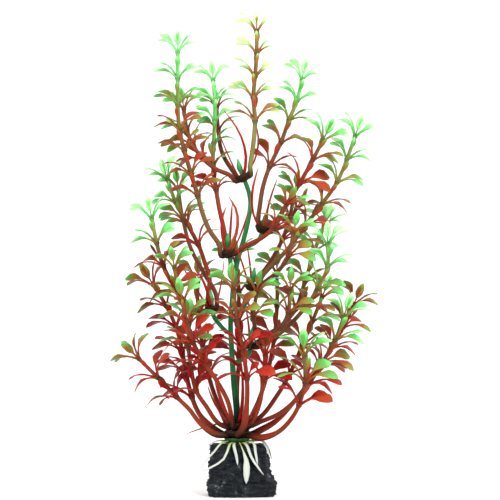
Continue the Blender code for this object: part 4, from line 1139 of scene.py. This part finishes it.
def arm_samples(arm):
    """Close-set (place, radius) samples along an arm, thicker at its joints.

    With them come its tones and its shades, painted shade at its foot and its joints' own dark: 0
    is as dark as its collar, and 1 unshaded.
    """
    points, tangents = arm_course(arm)
    samples = [(points[0] - tangents[0] * ARM_SINKS, arm_radius(arm, 0) * ROUNDING)]
    tones = [tones_at(arm.name, 0)[0]]
    shades = [0.0]
    dark = LOW_DARK_FOOT if arm.ring.startswith("foot") else DARK_FOOT
    travelled = 0.0
    for step, (start, end) in enumerate(zip(points, points[1:])):
        count = max(LEAST_ARM_SECTIONS, round((end - start).length / STEM_SPACING))
        for i in range(count + (step == len(points) - 2)):
            position = step + i / count
            share = position / (len(points) - 1)
            place, _ = between(points, tangents, share)
            radius = arm_radius(arm, position) * ROUNDING
            joint = min(range(arm.bare + 1, len(points)), key=lambda j: abs(j - position))
            gap = (place - points[joint]).length / JOINT_HALF_HEIGHT
            radius *= 1 + (JOINT_SWELL - 1) * math.exp(-gap * gap)
            travelled += (place - samples[-1][0]).length
            samples.append((place, radius))
            tones.append(tones_at(arm.name, share)[0])
            # Painted shade near the collar, times the joints' own darker colour
            shades.append(smooth_step(travelled / dark)
                          * (1 - JOINT_SHADE * math.exp(-gap * gap / 2)))
    return samples, tones, shades


def is_in_box(line):
    """Whether a leaf's middle line stays well inside the box of the solids."""
    low, high = (Vector(corner) / MM for corner in CAD_BOX)
    return all(low[axis] + SMALL_MARGIN < place[axis] < high[axis] - SMALL_MARGIN
               for place in line for axis in range(3))


def add_small_leaves(room, placed):
    """A leaf at the back and one at the front of each whorl, wherever there is room."""
    for arm in ARMS:
        points, tangents = arm_course(arm)
        for step, turn, leaves in placed[arm.name]:
            spot = (points[step], tangents[step], arm_radius(arm, step))
            length = SMALL_LEAF_SHARE * max(leaf.length for leaf in leaves if leaf)
            for side in SMALL_TURNS:
                trials = [Leaf(turn + side + more, length * shorter, SMALL_LIFT + lift)
                          for shorter in TRIAL_LENGTHS for lift in TRIAL_LIFTS
                          for more in SMALL_TRIAL_TURNS]
                for trial in trials:
                    block = leaf_block(spot, trial)
                    if is_in_box(leaf_line(*spot, trial)) and room.is_free(block, arm.name, step):
                        room.add(block, arm.name, step)
                        leaves.append(trial)
                        break


def make_arm(arm, joints, masters, plastics):
    """A leafy arm: its stem with swollen joints, the whorls' leaves and the leaf at its tip."""
    points, tangents = arm_course(arm)
    samples, tones, shades = arm_samples(arm)
    stem = draw_stem(arm.name + "_stem", samples)
    stem.data.materials.append(plastics["arm"])
    values_by_place(stem, samples, tones, shades)
    leaves = []
    for step, _, joint_leaves in joints:
        spot = (points[step], tangents[step], arm_radius(arm, step))
        stalk, blade = tones_at(arm.name, step / (len(points) - 1))
        blade += WHORL_TONE_SPREAD * spread(points[step].x, points[step].z)
        for number, leaf in enumerate(joint_leaves):
            if leaf:
                is_small = number >= len(SIDE_TURNS)
                leaves.append(make_leaf(masters, arm, spot, leaf, (stalk, blade), is_small))
    bud = bud_line(arm, points[-1], tangents[-1])
    across = tangents[-1].cross(outward(tangents[-1], BUD_TURN)).normalized()
    length = arm.leaf * BUD_SHARE
    stalk, blade = tones_at(arm.name, 1.0)
    bud_points = [points[-1], points[-1].lerp(bud[1], 0.5), bud[1],
                  bud[2].lerp(bud[1], TIP_DRAWN_IN)]
    leaves.append(lay_blade(masters["leaf"], arm.name + "_bud", bud_points, lambda *_: across,
                            (BUD_SLENDERNESS * length, LEAF_THICKNESS), (0, 0),
                            blade_tones(stalk, blade)))
    finish = plastics["yellow_leaf" if arm.name in YELLOW_ARMS else "leaf"]
    return join_piece(arm.name + "_sprig", stem, leaves, finish)


def join_piece(name, first, others, other_finish=None):
    """Join parts into one piece, and bring it from millimetres to its real size."""
    for part in others:
        if other_finish:
            part.data.materials.append(other_finish)
    make_active(first)
    for part in others:
        part.select_set(True)
    if others:
        bpy.ops.object.join()
    piece = bpy.context.object
    piece.name = name
    piece.data.name = name
    piece.data.transform(Matrix.Scale(MM, 4))
    return piece


def hand_in(piece, slot, *nodes):
    """The piece rides on the plant and stands for its nodes; the slot is not used."""
    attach(piece, "root")
    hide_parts(*nodes)


# Making: stem, rings, strands, roots and base

def make_stem(name, points, plastics):
    """A green stem piece, round and slightly uneven, sunk a little into what carries it."""
    places = [Vector(point[:3]) for point in points]
    radii = [point[3] for point in points]
    slopes = natural_slopes(places)
    samples = []
    for step, (start, end) in enumerate(zip(places, places[1:])):
        count = max(LEAST_STEM_SECTIONS, round((end - start).length / STEM_SPACING))
        for i in range(count + (step == len(places) - 2)):
            place, _ = between(places, slopes, (step + i / count) / (len(places) - 1))
            radius = radii[step] + (radii[step + 1] - radii[step]) * smooth_step(i / count)
            samples.append((place, radius))
    stem = draw_stem(name + "_green", samples, STEM_SIDES)
    stem.data.materials.append(plastics["stem"])
    set_values(stem.data, "ripeness",
               [stem_tone(vert.co, places[-1]) for vert in stem.data.vertices])
    hand_in(join_piece(name + "_green", stem, []), "green_plastic", name)


def stem_tone(place, end):
    """The stem's ripeness at a place: darkened near the base by painted shade, and bright at the
    end of a piece.
    """
    out_of_shade = risen(place.z, STEM_SHADED_BELOW, STEM_TURNS_OVER)
    at_tip = smooth_step(PEG_TIP_REACH - (place - end).length / PEG_TIP_LENGTH)
    return STEM_SHADED_FOOT_TONE + (STEM_TONE - STEM_SHADED_FOOT_TONE) * out_of_shade + PEG_TIP_BRIGHTER * at_tip


def make_hub(name, ring, plastics, tone=HUB_TONE):
    """The collar that a sprig's arms grow from: a turned cup with a lip and a sunk top."""
    centre = Vector((ring.x, ring.y, ring.z - RING_HEIGHT / 2))
    radius, height = ring.bore * HUB_BORE, 0.0
    hub = new_primitive(bpy.ops.mesh.primitive_circle_add, name + "_hub", vertices=HUB_SIDES,
                        radius=radius, fill_type="NOTHING", location=centre)
    begin_edit()
    for wanted, rise in [(ring.radius * at, RING_HEIGHT * up) for at, up in HUB_PROFILE]:
        bpy.ops.mesh.extrude_edges_move(
            TRANSFORM_OT_translate={"value": (0, 0, rise - height)})
        bpy.ops.transform.resize(value=(wanted / radius, wanted / radius, 1),
                                 center_override=centre + UP * rise)
        radius, height = wanted, rise
    pick(hub, lambda place: (place - centre).xy.length < ring.bore * (HUB_BORE + 0.05))
    bpy.ops.mesh.bridge_edge_loops()
    bpy.ops.mesh.select_all(action="SELECT")
    bpy.ops.mesh.remove_doubles(threshold=MERGE_WITHIN)
    bpy.ops.transform.rotate(value=-math.radians(ring.lean), orient_axis="Y",
                             center_override=(ring.x, ring.y, ring.z))
    end_edit()
    hub.data.materials.append(plastics["hub"])
    for vert in hub.data.vertices:
        vert.co += noise_at(vert.co * HUB_LUMP_FINENESS) * HUB_ROUGHNESS
    set_values(hub.data, "ripeness", [tone] * len(hub.data.vertices))
    return hub


def make_ring(name, ring, masters, plastics):
    """A sprig's collar with its thin strands."""
    hub = make_hub(name, ring, plastics)
    strands = []
    for number, strand in enumerate(STRANDS[name]):
        root, bend, tip = strand_line(ring, strand)
        root = root - heading(strand.side) * STRAND_SUNK[0] - UP * STRAND_SUNK[1]
        level = UP.cross(heading(strand.side)).normalized()
        line = [root * (1 - t) * (1 - 2 * t) + bend * 4 * t * (1 - t) + tip * t * (2 * t - 1)
                for t in STRAND_PLACES]
        tone = STRAND_TONE + STRAND_TONE_SPREAD * spread(ring.x, strand.side)
        strands.append(lay_blade(masters["strand"], f"{name}_strand", line, lambda *_: level,
                                 (strand.width * STRAND_WIDENING, STRAND_THICKNESS),
                                 (0, STRAND_TWIST), (tone, tone, tone + STRAND_TIP_RIPER)))
    piece = join_piece(name + "_collar", hub, strands, plastics["leaf"])
    hand_in(piece, "brown_plastic", name + "_ring")


def make_roots(masters, plastics):
    """The root skirt: a collar round the stem's foot, and roots that lie over the base."""
    foot = Ring(STEM_X, 0, BASE_HEIGHT + GAP + ROOT_RING_HEIGHT / 2, ROOT_RING_RADIUS,
                TRUNK_RADIUS + TRUNK_BORE_CLEAR, 0)
    # The white collar is coloured near-black green: painted shade under the lowest rings
    collar = make_hub("root", foot, plastics, SHADED_ROOT_RING_TONE)
    collar.data.materials.clear()
    collar.data.materials.append(plastics["root"])
    strips = []
    for root in ROOTS:
        line = root_line(root)
        line[0] = line[0] - heading(root.side) * ROOT_SUNK
        widest = max(point[3] for point in root.points)
        master = masters["leaf" if widest > SPOON_ROOT_WIDTH else "root"]
        strips.append(lay_blade(master, "root_strip", line, root_across,
                                (widest, ROOT_THICKNESS * ROOT_THINNING), (0, 0), ROOT_TONES))
    piece = join_piece("root_fringe", collar, strips, plastics["root"])
    hand_in(piece, "white_plastic", "root_skirt")


def make_base(stone):
    """The weighted base: a rough cast block, flat underneath."""
    base = new_primitive(bpy.ops.mesh.primitive_cube_add, "stone_block", size=1,
                         location=(0, 0, 0.5))
    begin_edit()
    bpy.ops.mesh.subdivide(number_cuts=BASE_CUTS)
    bpy.ops.object.mode_set(mode="OBJECT")
    for vert in base.data.vertices:
        vert.co = stone_place(vert.co)
    begin_edit()
    end_edit()
    bpy.ops.object.shade_smooth_by_angle(angle=math.radians(STONE_EDGE_ANGLE))
    base.data.materials.append(stone)
    hand_in(join_piece("stone_block", base, []), "black_stone", "stone_base")


def stone_place(place):
    """Where a point of the unit cube stands on the rough block."""
    height = place.z
    spot = base_place(place.x, place.y, height)
    lump = base_lump(spot)
    for fineness, depth in STONE_LUMPS:
        lump += noise_at(spot * fineness) * depth
    ridge = Vector((spot.x * RIDGE_RUN, spot.y * RIDGE_RUN, spot.z * RIDGE_FINENESS))
    lump += noise_at(ridge) * RIDGE_DEPTH
    tucked = 1 - BOTTOM_TUCK * (1 - min(1.0, height / BOTTOM_TUCK_HEIGHT)) ** 2
    if height < RIM:
        lump.z = 0
    elif height > 1 - RIM:
        lump.z = min(lump.z, TOP_LUMP)
    moved = spot + lump
    return Vector((moved.x * tucked, moved.y * tucked, max(0.0, moved.z)))


# Stage: camera, floor and light

def photo_point(pixel_x, pixel_y):
    """The place in the plane of the stem that a pixel of the photo shows, in metres."""
    return Vector(((pixel_x - ORIGIN_PIXEL_X) * MM_PER_PIXEL, 0,
                   (GROUND_PIXEL_Y - pixel_y) * MM_PER_PIXEL)) * MM


def make_camera():
    """A camera level with the photo's middle, which frames the photo's square."""
    camera = bpy.data.objects.new("photo_camera", bpy.data.cameras.new("photo_camera"))
    bpy.context.collection.objects.link(camera)
    middle = photo_point(PHOTO_CENTRE_PIXEL, PHOTO_CENTRE_PIXEL)
    camera.location = middle - Vector((0, CAMERA_DISTANCE * MM, 0))
    camera.rotation_euler = (math.radians(90), 0, 0)
    half_side = PHOTO_SIDE * MM_PER_PIXEL / 2
    camera.data.lens_unit = "FOV"
    camera.data.angle = 2 * math.atan(half_side / CAMERA_DISTANCE)
    camera.data.clip_end = CAMERA_SEES
    bpy.context.scene.camera = camera


def make_floor():
    """A pale floor that curves up far behind into a backdrop."""
    floor = new_primitive(bpy.ops.mesh.primitive_plane_add, "studio_floor", size=FLOOR_SIZE,
                          location=(0, 0, 0))
    bpy.ops.object.mode_set(mode="EDIT")
    pick(floor, lambda place: place.y > 0)
    bpy.ops.mesh.extrude_edges_move(TRANSFORM_OT_translate={"value": (0, 0, BACKDROP_HEIGHT)})
    pick(floor, lambda place: place.y > 0 and place.z < BACKDROP_HEIGHT / 2)
    bpy.ops.mesh.bevel(offset=BACKDROP_CURVE, segments=BACKDROP_STEPS, affect="EDGES")
    bpy.ops.object.mode_set(mode="OBJECT")
    bpy.ops.object.shade_smooth()
    paper, tree, shader = new_material("studio_paper")
    place = node(tree, "ShaderNodeTexCoord").outputs["Object"]
    grain = noise_node(tree, place, PAPER_FINENESS)
    feed(tree, shader, {"Base Color": ramp_node(tree, grain, PAPER_COLOURS), **PAPER})
    floor.data.materials.append(paper)


def make_lamp(name, place, size, power):
    """A round lamp that faces the plant's middle."""
    light = bpy.data.lights.new(name, "AREA")
    light.shape = "DISK"
    light.size = size
    light.energy = power
    lamp = bpy.data.objects.new(name, light)
    bpy.context.collection.objects.link(lamp)
    lamp.location = place
    direction = Vector(LAMP_TARGET) - Vector(place)
    lamp.rotation_euler = direction.to_track_quat("-Z", "Y").to_euler()


def make_studio():
    """Soft white light from all round, a large front lamp above and a weaker one aside."""
    make_floor()
    for name, looks in LAMPS.items():
        make_lamp(name, *looks)
    world = bpy.data.worlds.new("white_room")
    world.use_nodes = True
    feed(world.node_tree, world.node_tree.nodes["Background"],
         {"Color": (1, 1, 1, 1), "Strength": 1.0})
    bpy.context.scene.world = world
    bpy.context.scene.view_settings.view_transform = "Standard"
    bpy.context.scene.view_settings.look = "None"


# Build

finish = moulded_finish_group()
plastics = {name: plastic(f"{name}_plastic", finish, *look) for name, look in {
    "leaf": (LEAF_COLOURS, LEAF_LOOKS),
    "yellow_leaf": (YELLOW_LEAF_COLOURS, LEAF_LOOKS),
    "arm": (ARM_COLOURS, ARM_LOOKS, ARM_SHADE_COLOUR),
    "stem": (STEM_COLOURS, STEM_LOOKS),
    "hub": (HUB_COLOURS, HUB_LOOKS),
    "root": (ROOT_COLOURS, ROOT_LOOKS)}.items()}
masters = {name: make_blade_master(f"{name}_master", profile, fold) for name, profile, fold in (
    ("leaf", LEAF_PROFILE, LEAF_FOLD), ("strand", STRAND_PROFILE, 0), ("root", ROOT_PROFILE, 0))}
room = Room()
placed = place_leaves(room)
add_small_leaves(room, placed)
for arm in ARMS:
    slot = "red_arm_plastic" if arm.ring in RED_RINGS else "olive_arm_plastic"
    hand_in(make_arm(arm, placed[arm.name], masters, plastics), slot, arm.name)
for name, points in STEMS.items():
    make_stem(name, points, plastics)
for name, ring in RINGS.items():
    make_ring(name, ring, masters, plastics)
make_roots(masters, plastics)
make_base(stone_material())
for master in masters.values():
    bpy.data.objects.remove(master)
make_camera()
make_studio()
